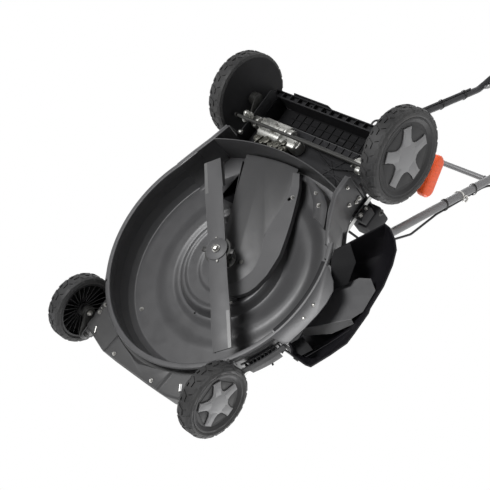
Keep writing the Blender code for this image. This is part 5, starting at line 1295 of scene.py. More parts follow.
class MOWER_OT_chute(bpy.types.Operator):
    """Side chute's hood, ramp, cheeks and strip, and the side flap with its beads, springs and clips"""
    bl_idname = "mower.chute"
    bl_label = "Side chute"

    def execute(self, context):
        rim = [(0.2792, 0.2728), (0.2835, 0.2663), (0.316, 0.2175), (0.3472, 0.1717), (0.3637, 0.1754),
            (0.391, 0.1943), (0.4078, 0.2129), (0.4211, 0.2457), (0.4327, 0.296), (0.4359, 0.3494),
            (0.4393, 0.3603), (0.4387, 0.4109), (0.4375, 0.4365), (0.4205, 0.4746), (0.3985, 0.5156),
            (0.3861, 0.518), (0.3432, 0.5156), (0.336, 0.5066), (0.3198, 0.4958)]
        floor_line = [(x, y, 0.0862) for x, y in rim]
        deep = [(0.28, 0.279, 0.15), (0.2835, 0.27, 0.15), (0.316, 0.24, 0.156), (0.346, 0.215, 0.147),
            (0.356, 0.216, 0.143), (0.374, 0.228, 0.138), (0.386, 0.242, 0.133), (0.395, 0.265, 0.129),
            (0.402, 0.304, 0.127), (0.405, 0.35, 0.126), (0.406, 0.362, 0.1255), (0.406, 0.405, 0.125),
            (0.403, 0.428, 0.125), (0.393, 0.458, 0.126), (0.375, 0.488, 0.129), (0.366, 0.49, 0.131),
            (0.34, 0.492, 0.138), (0.334, 0.49, 0.145), (0.32, 0.489, 0.15)]
        top = [(0.2835, 0.31, 0.16), (0.286, 0.307, 0.16), (0.31, 0.305, 0.1605), (0.33, 0.295, 0.16),
            (0.34, 0.298, 0.158), (0.348, 0.308, 0.156), (0.353, 0.318, 0.1545), (0.356, 0.328, 0.1535),
            (0.358, 0.345, 0.153), (0.358, 0.362, 0.153), (0.358, 0.372, 0.153), (0.357, 0.4, 0.153),
            (0.356, 0.42, 0.153), (0.352, 0.44, 0.1535), (0.346, 0.46, 0.1545), (0.34, 0.466, 0.156),
            (0.332, 0.47, 0.159), (0.325, 0.474, 0.1605), (0.312, 0.478, 0.1605)]
        hood = bmesh.new()
        rows = []
        for a, b, steps in ((floor_line, deep, 5), (deep, top, 5)):
            for k in range(steps + (a is deep)):
                t = k / steps
                row = []
                for p, q in zip(a, b):
                    at = Vector(p).lerp(Vector(q), t)
                    if a is floor_line:
                        at.z = p[2] + (q[2] - p[2]) * (t ** 0.75)
                    row.append(at)
                rows.append(row)
        rows = [[p for a, b in zip(row, row[1:]) for p in (a, a.lerp(b, 0.5))] + [row[-1]] for row in rows]
        grid = [[hood.verts.new(p) for p in row] for row in rows]
        quads(hood, grid)
        lid = [hood.verts.new((0.286, 0.478, 0.16)), hood.verts.new((0.286, 0.35, 0.16))]
        hood.faces.new(grid[-1] + lid)
        bmesh.ops.triangulate(hood, faces=[f for f in hood.faces if len(f.verts) > 4])
        for _ in range(3):
            bmesh.ops.smooth_vert(hood, verts=[v for row in grid[2:-2] for v in row[1:-1]], factor=0.5,
                use_axis_x=True, use_axis_y=True, use_axis_z=True)
        thickened(hood, 0.0022)
        bead = swept([Vector((x, y, 0.0858)) for x, y in rim], 0.0016, 8)
        tongue = block((0.283, 0.33, 0.1577), (0.33, 0.47, 0.1606), 0.0006)
        # The hood's colour is black plastic darkened further as painted shade.
        piece("chute_hood", joined(hood, bead, tongue), "chute_plastic_and_painted_shade", "chute", ("side_chute",),
            28)

        def panel(points, thickness=0.0016):
            bm = bmesh.new()
            bm.faces.new([bm.verts.new(p) for p in points])
            bmesh.ops.triangulate(bm, faces=bm.faces[:])
            bmesh.ops.solidify(bm, geom=bm.faces[:], thickness=thickness)
            return bm
        ramp = panel([(0.2948, 0.3393, 0.14), (0.3087, 0.3436, 0.12), (0.3509, 0.2943, 0.12),
            (0.374, 0.284, 0.1215), (0.399, 0.302, 0.1235), (0.404, 0.356, 0.1225), (0.3925, 0.3811, 0.12),
            (0.3044, 0.4519, 0.12), (0.29, 0.448, 0.14)])
        # The ramp's colour, lighter than the chute's plastic, is painted light.
        piece("chute_ramp_painted_light", ramp, "chute_ramp_painted_light", "chute")
        strip = panel([(0.3044, 0.4519, 0.1198), (0.3925, 0.3811, 0.1198), (0.399, 0.386, 0.127),
            (0.365, 0.427, 0.13), (0.3082, 0.46, 0.133)])
        cheek = panel([(0.28, 0.274, 0.084), (0.3008, 0.243, 0.0858), (0.3349, 0.2722, 0.096),
            (0.3401, 0.3196, 0.111), (0.3152, 0.3459, 0.114), (0.2997, 0.3176, 0.092),
            (0.286, 0.293, 0.0835)])
        cheek = joined(cheek, panel([(0.3104, 0.4952, 0.105), (0.3274, 0.4681, 0.105),
            (0.3669, 0.481, 0.105), (0.3523, 0.504, 0.105), (0.3238, 0.504, 0.105)]))
        # The cheeks' near-black colour is painted shade inside the chute.
        piece("chute_cheek", cheek, "painted_shade_black", "chute")
        stop = panel([(0.285, 0.502, 0.096), (0.317, 0.501, 0.099), (0.315, 0.501, 0.16),
            (0.285, 0.502, 0.16)], 0.0018)
        piece("outlet_cheek", stop, "black_plastic", "deck")
        bead = swept([(0.304, 0.452, 0.1196), (0.3925, 0.3811, 0.1196)], 0.0012, 8)
        fold = swept([(0.3085, 0.344, 0.1197), (0.3509, 0.2943, 0.1197)], 0.0009, 8)
        # The strip's light grey colour is a painted highlight on the chute's black plastic.
        piece("chute_strip_painted_highlight", joined(strip, bead, fold), "chute_strip_painted_highlight", "chute")
        crease = swept([(0.365, 0.502, 0.101), (0.395, 0.45, 0.1), (0.417, 0.4066, 0.099)], 0.0008, 6)
        piece("chute_panels", crease, "chute_plastic_and_painted_shade", "chute")
        coils = []
        for mid in (0.33, 0.47):
            turns = coil(6, 14, lambda t, c, d: (FLAP_X + 0.0092 * c, mid - 0.01 + 0.02 * t,
                FLAP_Z + 0.0092 * d))
            last = turns[-1]
            turns += [(0.303, last[1] + 0.0005, 0.1905), (0.325, last[1] + 0.0005, 0.1835)]
            coils.append(swept(turns, 0.0009, 6))
        piece("flap_springs", joined(*coils), "bolt_steel", "flap_side")

        def under(x, lift=0.0):
            """Height of the flap's underside, which falls outwards."""
            return 0.1865 + (x - 0.312) * (0.139 - 0.1865) / 0.113 + lift
        line = [(0.305, 0.302), (0.385, 0.302), (0.388, 0.306), (0.388, 0.436), (0.385, 0.44),
            (0.345, 0.476), (0.32, 0.498), (0.305, 0.498)]
        plate = bmesh.new()
        plate.faces.new([plate.verts.new((x, y, under(x))) for x, y in line])
        thickened(plate, 0.0024)
        barrels = [drum("Y", (0.31, y, FLAP_Z), 0.0074, 0.036, 32, 0.0005, 1)
            for y in (0.3185, 0.4, 0.4815)]
        piece("side_flap_plate", joined(plate, *barrels), "deck_paint", "flap_side", ("side_flap",))
        edges = [swept([(x, y, under(x, 0.0004)) for x, y in line[1:6]], 0.002, 10)]
        for y in (0.33, 0.37, 0.41):
            edges.append(wrapped([(x, yy, z) for yy in (y - 0.004, y + 0.004)
                for x, z in ((0.324, under(0.324)), (0.376, under(0.376)), (0.326, under(0.326, 0.0034)),
                (0.374, under(0.374, 0.0034)))], 0.0008, 1))
        piece("side_flap_beads", joined(*edges), "deck_paint", "flap_side")
        caps = [drum("Y", (FLAP_X, y, FLAP_Z), 0.0068, 0.0022, 20, 0.0005, 1) for y in (0.2925, 0.5075)]
        piece("flap_rod_clips", joined(*caps), "dark_steel", "deck")
        return {"FINISHED"}


class MOWER_OT_drive(bpy.types.Operator):
    """Cast gearbox, drive shaft with its bearings, swinging arms, dust discs and rear tie bar"""
    bl_idname = "mower.drive"
    bl_label = "Drive"

    def execute(self, context):
        shell = wrapped([(x, y, z) for x in (-0.154, -0.078) for y, z in ((0.034, 0.124), (0.044, 0.1165),
            (0.074, 0.1165), (0.085, 0.124), (0.085, 0.152), (0.078, 0.158), (0.04, 0.158), (0.034, 0.15))],
            0.01, 5)
        parts = [shell, drum("X", (-0.116, *SHAFT), 0.0205, 0.086, 40, 0.004, 3),
            drum("X", (-0.16, *SHAFT), 0.015, 0.012, 32, 0.002, 2), drum("X", (-0.068, *SHAFT), 0.015,
            0.016, 32, 0.002, 2)]
        parts.append(wrapped([(x, y, z) for x in (-0.09, -0.026) for y in (0.05, 0.084)
            for z in (0.124, 0.1565)], 0.007, 4))
        parts.append(drum("Z", (*GEAR_PULLEY, 0.146), 0.0185, 0.03, 36, 0.003, 2))
        for x in (-0.148, -0.13, -0.112, -0.094):
            parts.append(wrapped([(x + d, y, z) for d in (-0.0014, 0.0014)
                for y, z in ((0.04, 0.118), (0.074, 0.118), (0.046, 0.115), (0.07, 0.115))], 0.0006, 1))
        parts.append(block((-0.14, 0.04, 0.156), (-0.11, 0.076, 0.1645), 0.001))
        piece("gearbox_casting", joined(*parts), "cast_aluminium", "deck", ("gearbox",))
        lumps = [wrapped([(x, y, z) for x in (-0.15, -0.046) for y, z in ((0.082, 0.124), (0.1, 0.128),
            (0.103, 0.15), (0.082, 0.156))], 0.005, 3)]
        for x, y, r, low in ((-0.142, 0.093, 0.0085, 0.118), (-0.124, 0.097, 0.0065, 0.1215),
                (-0.108, 0.09, 0.0105, 0.115), (-0.09, 0.096, 0.0075, 0.1195),
                (-0.074, 0.09, 0.011, 0.1165), (-0.056, 0.096, 0.008, 0.12), (-0.058, 0.078, 0.007, 0.119)):
            lumps.append(drum("Z", (x, y, (low + 0.14) / 2), r, 0.14 - low, 20, 0.0022, 2))
            lumps.append(drum("Z", (x, y, low - 0.0008), r * 0.45, 0.003, 6, 0.0004, 1))
        for x, a in ((-0.133, 25), (-0.099, -30), (-0.066, 35)):
            lumps.append(moved(block((-0.0015, -0.013, 0.1185), (0.0015, 0.013, 0.136), 0.0006),
                Matrix.Translation((x, 0.094, 0)) @ Matrix.Rotation(math.radians(a), 4, "Z")))
        lobes = []
        for y, z, r in ((0.05, 0.109, 0.0095), (0.066, 0.101, 0.0085), (0.054, 0.0935, 0.008)):
            lobes.append(drum("X", (-0.1935, y, z), r, 0.009, 28, 0.002, 2))
            lobes.append(drum("X", (-0.188, y, z), r * 0.45, 0.004, 20, 0.0008, 1))
        lobes.append(wrapped([(x, y, z) for x in (-0.1975, -0.1905) for y, z in ((0.046, 0.116),
            (0.058, 0.113), (0.074, 0.102), (0.06, 0.088), (0.047, 0.092))], 0.0015, 2))
        lobes.append(drum("X", (-0.1935, 0.098, 0.116), 0.006, 0.009, 20, 0.0015, 2))
        lobes.append(drum("X", (0.1905, 0.076, 0.106), 0.0085, 0.014, 28, 0.002, 2))
        piece("bearing_lobes", joined(*lobes), "cast_aluminium", "deck")
        piece("gearbox_clutch_side", joined(*lumps), "cast_dark", "deck")
        screws = [hex_bolt((x, y, 0.1128), (0, 0, -1), 0.006, 0.003, 0.0045)
            for x, y in ((-0.149, 0.064), (-0.149, 0.044), (-0.105, 0.064), (-0.105, 0.044))]
        screws += [hex_bolt((x, 0.0665, 0.1268), (0, 0, -1), 0.006, 0.003, 0.0045)
            for x in (-0.03, -0.0595)]
        screws.append(drum("Z", (*GEAR_PULLEY, 0.175), 0.0048, 0.03, 24))
        piece("gearbox_screws", joined(*screws), "bolt_steel", "deck", ("gearbox",))
        mounts = []
        for s, x0, x1 in ((-1, 0.178, 0.199), (1, 0.15, 0.199)):
            mid = (x0 + x1) / 2
            shell = [drum("X", (s * mid, *SHAFT), 0.015, x1 - x0, 40, 0.0025, 2)]
            for a in (215, 325):
                c, d = math.cos(math.radians(a)), math.sin(math.radians(a))
                shell.append(wrapped([(s * x, SHAFT[0] + r * c + t, SHAFT[1] + r * d + t)
                    for x in (x0 + 0.002, x1 - 0.002) for r in (0.008, 0.0235) for t in (-0.0045, 0.0045)],
                    0.003, 3))
                shell.append(hex_bolt((s * (x0 + 0.0021), SHAFT[0] + 0.021 * c, SHAFT[1] + 0.021 * d),
                    (-s, 0, 0), 0.0058, 0.0022, 0.0044))
            shell.append(wrapped([(s * x, y, z) for x in (x0 + 0.003, x1 - 0.003)
                for y, z in ((0.034, 0.146), (0.06, 0.146), (0.03, 0.1644), (0.062, 0.1644))], 0.002, 2))
            mounts.append(carved(joined(*shell), [drum("X", (s * mid, *SHAFT), PIVOT_BORE, 0.06, 24)]))
        piece("shaft_bearings", joined(*mounts), "cast_aluminium", "deck")
        shaft = turned([(0.0, 0.258), (0.0112, 0.258), (0.0118, 0.2572), (0.0118, 0.2388), (0.0112, 0.238),
            (0.005, 0.238), (0.005, -0.238), (0.0112, -0.238), (0.0118, -0.2388), (0.0118, -0.2572),
            (0.0112, -0.258), (0.0, -0.258)], "X", (0, *SHAFT), 28)
        teeth = []
        for s, w in SIDES:
            for k in range(10):
                a = math.radians(36 * k)
                teeth.append(wrapped([(s * x, SHAFT[0] + r * math.cos(a + b),
                    SHAFT[1] + r * math.sin(a + b)) for x in (0.2395, 0.2565)
                    for r, b in ((0.011, -0.16), (0.011, 0.16), (0.0126, -0.08), (0.0126, 0.08))]))
        piece("drive_shaft_turned", joined(shaft, *teeth), "dark_steel", "axle_drive", ("drive_shaft",))
        collars = [drum("X", (s * x, *SHAFT), 0.0085, 0.006, 24, 0.001, 1)
            for s, x in ((-1, 0.172), (1, 0.144))]
        piece("shaft_collars", joined(*collars), "bolt_steel", "axle_drive")
        tie = [swept([(-0.208, 0.069, 0.088), (0.208, 0.069, 0.088)], 0.0042, 16)]
        tie += [hex_bolt((s * 0.2125, 0.069, 0.088), (s, 0, 0), 0.008, 0.004, 0.006) for s in (-1, 1)]
        piece("rear_tie_bar", joined(*tie), "dark_steel", "rear_arm_l")

        for s, word in SIDES:
            for place, disc in (("rear", 0.1035), ("front", 0.0)):
                y, radius, width, out = WHEELS[place]
                pivot = PIVOTS[place]
                body = "%s_arm_%s" % (place, word[0])
                a, b = sorted((s * 0.2085, s * 0.2125))
                boss = arc(0.014, 120, 300, 14, (y, radius)) + arc(0.014, -60, 120, 14, pivot)
                arm = sheet(boss, "X", a, b, 0.0006)
                lean = math.radians(29.2)
                tip = (pivot[0] - 0.045 * math.sin(lean), pivot[1] + 0.045 * math.cos(lean))
                arm = joined(arm, wrapped([(x, yy, zz) for x in (a + 0.0002, b - 0.0002)
                    for yy, zz in ((tip[0] - 0.006, tip[1] + 0.006), (tip[0] + 0.006, tip[1] + 0.006),
                    (tip[0] + 0.006, tip[1] - 0.004), (tip[0] - 0.006, tip[1] - 0.004),
                    (pivot[0] - 0.01, pivot[1]), (pivot[0] + 0.01, pivot[1]))], 0.0006))
                if place == "rear":
                    lug = wrapped([(x, yy, zz) for x in (a + 0.0003, b - 0.0003)
                        for yy, zz in ((0.062, 0.085), (0.074, 0.083), (0.0765, 0.09), (0.061, 0.14),
                        (0.036, 0.133))], 0.001)
                    arm = carved(joined(arm, lug), [drum("X", (s * 0.2105, *pivot), PIVOT_BORE, 0.02, 24)])
                else:
                    arm = joined(arm, drum("X", (s * 0.202, *pivot), 0.005, 0.016, 24, 0.0005, 1))
                spindle = [(0.0, -0.0103), (0.0055, -0.0103), (0.006, -0.0098), (0.006, 0.001 - width),
                    (0.016, 0.0008 - width), (0.016, 0.2105 - out), (0.0, 0.2105 - out)]
                arm = joined(arm, turned(spindle, "X", (s * out, y, radius), 36, s))
                piece("%s_swing_arm_%s" % (place, word), arm, "dark_steel", body,
                    ("%s_arm_%s" % (place, word),))
                nut = drum("X", (s * (out - 0.0088), y, radius), 0.0085, 0.0022, 6, 0.0004, 1)
                if place == "front":
                    nut = joined(nut, hex_bolt((s * 0.2085, y, radius), (-s, 0, 0), 0.0095, 0.004, 0.0072),
                        hex_bolt((s * 0.2084, *tip), (-s, 0, 0), 0.006, 0.002, 0.0052))
                piece("%s_arm_nuts_%s" % (place, word), nut, "bolt_steel", body)
                if disc:
                    line = [(0.016, 0.0008), (0.03, 0.0022), (0.06, 0.0022), (0.0625, 0.0012),
                        (0.0655, 0.0012), (0.068, 0.0022), (disc - 0.004, 0.0022), (disc, 0.0014),
                        (disc, 0.0006), (0.016, -0.0004)]
                    cover = turned([(r, -h) for r, h in line], "X", (s * (out - width - 0.0006), y, radius),
                        96, -s)
                    piece("dust_disc_%s" % word, cover, "black_plastic", body,
                        ("%s_arm_%s" % (place, word),), 40)
        return {"FINISHED"}


class MOWER_OT_rear(bpy.types.Operator):
    """Ribbed rear bar, lattice under the tunnel and the height lever's pivot block"""
    bl_idname = "mower.rear"
    bl_label = "Rear bar and lattice"

    def execute(self, context):
        parts = [block((-0.222, -0.048, 0.1575), (0.222, -0.0455, 0.172), 0.0005),
            block((-0.222, -0.066, 0.16), (0.222, -0.0635, 0.1745), 0.0005),
            block((-0.222, -0.0645, 0.172), (0.222, -0.047, 0.1738))]
        for k in range(17):
            x = -0.2205 + 0.0275 * k
            parts.append(wrapped([(x + d, y, z) for d in (-0.001, 0.001)
                for y, z in ((-0.0475, 0.158), (-0.0475, 0.1725), (-0.064, 0.1605), (-0.064, 0.174))]))
        parts.append(wrapped([(x, y, z) for y in (-0.069, -0.0662) for x, z in ((-0.172, 0.176),
            (-0.03, 0.176), (-0.04, 0.152), (-0.158, 0.152))], 0.0012, 2))
        piece("rear_bar_ladder", joined(*parts), "black_plastic", "deck")
        ribs = [block((x - 0.0008, -0.044, 0.2045), (x + 0.0008, 0.014, 0.208))
            for x in [-0.15 + 0.0255 * k for k in range(13)]]
        ribs += [block((-0.168, y - 0.0008, 0.2045), (0.158, y + 0.0008, 0.208))
            for y in (-0.043, -0.024, -0.005, 0.013)]
        plate = block((-0.1996, -0.0445, 0.2074), (0.1996, 0.0165, 0.209))
        plate = carved(plate, [block((0.004, -0.021, 0.19), (0.026, -0.0085, 0.22), 0.0015),
            drum("Z", (0.063, -0.014, 0.205), 0.005, 0.03, 24), drum("Z", (-0.08, -0.014, 0.205), 0.004,
            0.03, 24)])
        plate = joined(plate, block((0.001, -0.0235, 0.2095), (0.029, -0.006, 0.2105)),
            block((0.055, -0.022, 0.2095), (0.071, -0.006, 0.2105)), block((-0.087, -0.021, 0.2095),
            (-0.073, -0.007, 0.2105)))
        sides = [block((-0.1996, 0.015, 0.165), (0.1996, 0.0166, 0.2085))]
        for s, word in SIDES:
            a, b = sorted((s * 0.198, s * 0.1996))
            sides.append(block((a, -0.0446, 0.156), (b, 0.016, 0.2085)))
        # The lattice's near-black colour is painted shade under the tunnel.
        piece("rear_lattice", joined(plate, *ribs, *sides), "painted_shade_black", "deck")
        edge = [(x, y - 0.001) for x, y in back_line(BACK_R, -0.1985, 0.1985)]
        liner = sheet([(-0.1985, 0.0175), (0.1985, 0.0175)] + edge[::-1], "Z", 0.162, 0.1636, 0.0003)
        liner = carved(liner, [block((-0.142, 0.036, 0.15), (-0.108, 0.08, 0.18)),
            drum("Z", (*GEAR_PULLEY, 0.16), 0.011, 0.03, 24), block((-0.206, 0.028, 0.15),
            (-0.176, 0.064, 0.18)), block((0.148, 0.028, 0.15), (0.206, 0.064, 0.18))])
        webs = []
        for a, b in (((0.02, 0.02), (0.12, 0.112)), ((0.12, 0.02), (0.06, 0.108)),
                ((0.18, 0.075), (0.01, 0.05)), ((0.185, 0.095), (0.06, 0.085)),
                ((0.135, 0.065), (0.145, 0.02))):
            webs.append(swept([Vector((*a, 0.1612)), Vector((*b, 0.1612))], 0.0014, 6))
        for k in range(9):
            x = -0.02 + 0.024 * k
            webs.append(block((x - 0.0007, 0.018, 0.1585), (x + 0.0007, 0.04, 0.1622)))
        webs.append(block((-0.022, 0.0392, 0.1585), (0.174, 0.0406, 0.1622)))
        piece("rear_liner", joined(liner, *webs), "black_plastic", "deck")
        wires = [swept(rounded([(0.06, 0.112, 0.15), (0.1, 0.095, 0.147), (0.15, 0.112, 0.15),
            (0.196, 0.12, 0.156)], 0.03, 5), 0.0011, 8), swept(rounded([(0.02, 0.055, 0.158),
            (0.08, 0.08, 0.152), (0.145, 0.06, 0.158), (0.196, 0.085, 0.16)], 0.03, 5), 0.0014, 8)]
        piece("rear_wires", joined(*wires), "cable_black", "deck")
        pivot = [wrapped([(x, y, z) for x in (0.2045, 0.2255) for y, z in ((0.118, 0.18), (0.126, 0.175),
            (0.152, 0.175), (0.158, 0.182), (0.156, 0.2055), (0.12, 0.2055))], 0.0015, 2),
            block((0.2045, 0.1165, 0.176), (0.2075, 0.166, 0.199), 0.0008)]
        piece("height_block", joined(*pivot), "black_plastic", "deck")
        pins = [hex_bolt((0.219, 0.128, 0.175), (0, 0, -1), 0.006, 0.003, 0.0048),
            hex_bolt((0.217, 0.147, 0.175), (0, 0, -1), 0.008, 0.004, 0.0062),
            hex_bolt((0.203, 0.12, 0.15), (1, 0, 0), 0.0075, 0.0035, 0.0058),
            hex_bolt((0.203, 0.15, 0.135), (1, 0, 0), 0.0065, 0.003, 0.005)]
        piece("height_block_nuts", joined(*pins), "bolt_steel", "deck")
        slot = [sheet([(-0.03, 0.165), (0.012, 0.165), (0.012, 0.19), (0.002, 0.205), (-0.03, 0.205)], "X",
            0.2036, 0.2044, 0.0003)]
        for k in range(6):
            slot.append(block((0.2032, -0.026 + 0.006 * k, 0.192), (0.2042, -0.0235 + 0.006 * k, 0.204)))
        piece("height_notch_plate", joined(*slot), "dark_steel", "deck")
        return {"FINISHED"}


HANDLE_X, UPPER_X, TUBE = 0.213, 0.1913, 0.0107
FOLD, KNEE, FOOT = Vector((-0.3, 0.624)), Vector((0.118, 0.317)), Vector((0.132, 0.215))
GRIP_LOW, GRIP_TOP = Vector((-0.62, 0.868)), Vector((-0.8, 0.935))
FOLD_WAY, UP_WAY = (FOLD - KNEE).normalized(), (GRIP_LOW - FOLD).normalized()
FOLD_RIGHT, UP_RIGHT = Vector((FOLD_WAY.y, -FOLD_WAY.x)), Vector((UP_WAY.y, -UP_WAY.x))


def beside(base, way, right, x, distance, off):
    """A point beside a handle tube: along it and off it."""
    p = base + way * distance + right * off
    return Vector((x, p.x, p.y))


def ring_round(at, way, inner, outer, width, steps=32):
    """A flat ring round a tube."""
    ring = turned([(inner, -width / 2), (outer, -width / 2), (outer, width / 2), (inner, width / 2)], "Z",
        (0, 0, 0), steps)
    return moved(ring, facing(way, at))


class MOWER_OT_handle(bpy.types.Operator):
    """Bend the handle tubes, fit the star knobs, brackets and bails"""
    bl_idname = "mower.handle"
    bl_label = "Handle"

    def execute(self, context):
        tubes = []
        for s, word in SIDES:
            end = FOLD + FOLD_WAY * 0.01
            path = rounded([(s * HANDLE_X, *FOOT), (s * HANDLE_X, *KNEE), (s * HANDLE_X, *end)], 0.045, 12)
            tubes.append(swept(path, TUBE, 32))
            tubes.append(moved(turned([(0, 0), (TUBE * 0.98, 0), (TUBE * 0.98, 0.0004),
                (TUBE * 0.75, 0.0022), (0, 0.0026)], "Z", (0, 0, 0), 32), facing((0, FOLD_WAY.x,
                FOLD_WAY.y), (s * HANDLE_X, *end))))
        brace = FOLD - FOLD_WAY * 0.115
        tubes.append(drum("X", (0, *brace), 0.0075, 2 * HANDLE_X, 28))
        for s, word in SIDES:
            tubes.append(drum("X", (s * (HANDLE_X - 0.0118), *brace), 0.0092, 0.003, 28, 0.0012, 2))
        piece("lower_handle_tubes", joined(*tubes), "tube_grey", "deck", ("lower_handle",))

        start = FOLD - FOLD_WAY * 0.01
        half = [(UPPER_X, *start), (UPPER_X, *GRIP_LOW), (UPPER_X, *GRIP_TOP)]
        path = rounded(half + [(-x, y, z) for x, y, z in reversed(half)], 0.06, 12)
        piece("upper_handle_tube", swept(path, TUBE, 32), "tube_black", "upper", ("upper_handle",))
        rings = []
        for k in range(30):
            x = -0.105 + 0.21 * k / 29
            rings.append(ring_round((x, *GRIP_TOP), (1, 0, 0), TUBE - 0.0003, TUBE + 0.0003, 0.003))
        for s, word in SIDES:
            rings.append(ring_round((s * 0.112, *GRIP_TOP), (1, 0, 0), TUBE - 0.0003, TUBE + 0.0004, 0.006))
        piece("grip_sleeve", joined(*rings), "belt_rubber", "upper")

        for s, word in SIDES:
            knob = [turned([(0, 0.243), (0.0105, 0.243), (0.0125, 0.2415), (0.0125, 0.23), (0.011, 0.225),
                (0.003, 0.2246), (0.003, 0.181), (0, 0.181)], "X", (0, *FOLD), 32, s)]
            for a in angles(5):
                y, z = FOLD.x + 0.0138 * math.cos(a), FOLD.y + 0.0138 * math.sin(a)
                knob.append(drum("X", (s * 0.2362, y, z), 0.0078, 0.012, 24, 0.0022, 3))
            knob.append(drum("X", (s * 0.2362, *FOLD), 0.017, 0.01, 32, 0.002, 2))
            knob.append(drum("X", (s * 0.2434, *FOLD), 0.0055, 0.0012, 24, 0.0004, 1))
            knob.append(hex_bolt((s * 0.1802, *FOLD), (-s, 0, 0), 0.0065))
            piece("star_knob_" + word, joined(*knob), "black_plastic", "knob_l" if s < 0 else "knob_r",
                ("fold_knob_" + word,))

        for s, word in SIDES:
            a, b = sorted((s * 0.1762, s * 0.2003))
            c, d = sorted((s * 0.1762, s * 0.227))
            lower = block((a, 0.0985, 0.1683), (b, 0.1595, 0.21), 0.002, 2)
            upper = block((c, 0.0985, 0.2062), (d, 0.1595, 0.2632), 0.005, 3)
            bore = swept([(s * HANDLE_X, 0.1313, 0.21), (s * HANDLE_X, *FOOT), (s * HANDLE_X, *KNEE)],
                TUBE + 0.0002, 32)
            upper = carved(upper, [bore])
            parts = [lower, upper]
            for y in (0.107, 0.118, 0.129, 0.14, 0.151):
                parts.append(wrapped([(x, y + t, z) for t in (-0.0012, 0.0012)
                    for x, z in ((s * 0.2001, 0.172), (s * 0.2008, 0.172), (s * 0.2001, 0.207),
                    (s * 0.214, 0.207))], 0.0005, 1))
            piece("foot_bracket_" + word, joined(*parts), "black_plastic", "deck",
                ("handle_bracket_" + word,))
            spots = ((0.107, 0.221), (0.152, 0.248))
            pins = [hex_bolt((s * 0.227, y, z), (s, 0, 0), 0.0055) for y, z in spots]
            pins += [drum("X", (s * 0.2274, y, z), 0.0085, 0.0012, 24, 0.0003, 1) for y, z in spots]
            pins += [hex_bolt((s * 0.1883, y, 0.2632), (0, 0, 1), 0.005) for y in (0.108, 0.15)]
            piece("foot_bolts_" + word, joined(*pins), "dark_steel", "deck")

        way = (GRIP_TOP - GRIP_LOW).normalized()
        up = Vector((way.y, -way.x))
        for name, body, at, rest, wide, look_name in (("stop_bail", "stop_lever", 0.045, 30, 0.1754,
                "tube_black"), ("drive_bail", "drive_lever", 0.02, -28, 0.1654, "tube_grey")):
            reach = (GRIP_TOP - GRIP_LOW).length - at
            pivot = GRIP_LOW + way * at
            end = (pivot + way * reach * math.cos(math.radians(rest))
                   + up * reach * math.sin(math.radians(rest)))
            half = [(0.1863, *pivot), (wide, *pivot), (wide, *end)]
            wire = swept(rounded(half + [(-x, y, z) for x, y, z in reversed(half)], 0.012, 8), 0.004, 20)
            caps = [drum("X", (s * 0.179, *pivot), 0.006, 0.003, 24, 0.0008, 2) for s, word in SIDES]
            piece(name + "_wire", joined(wire, *caps), look_name, body, (name,))
        return {"FINISHED"}


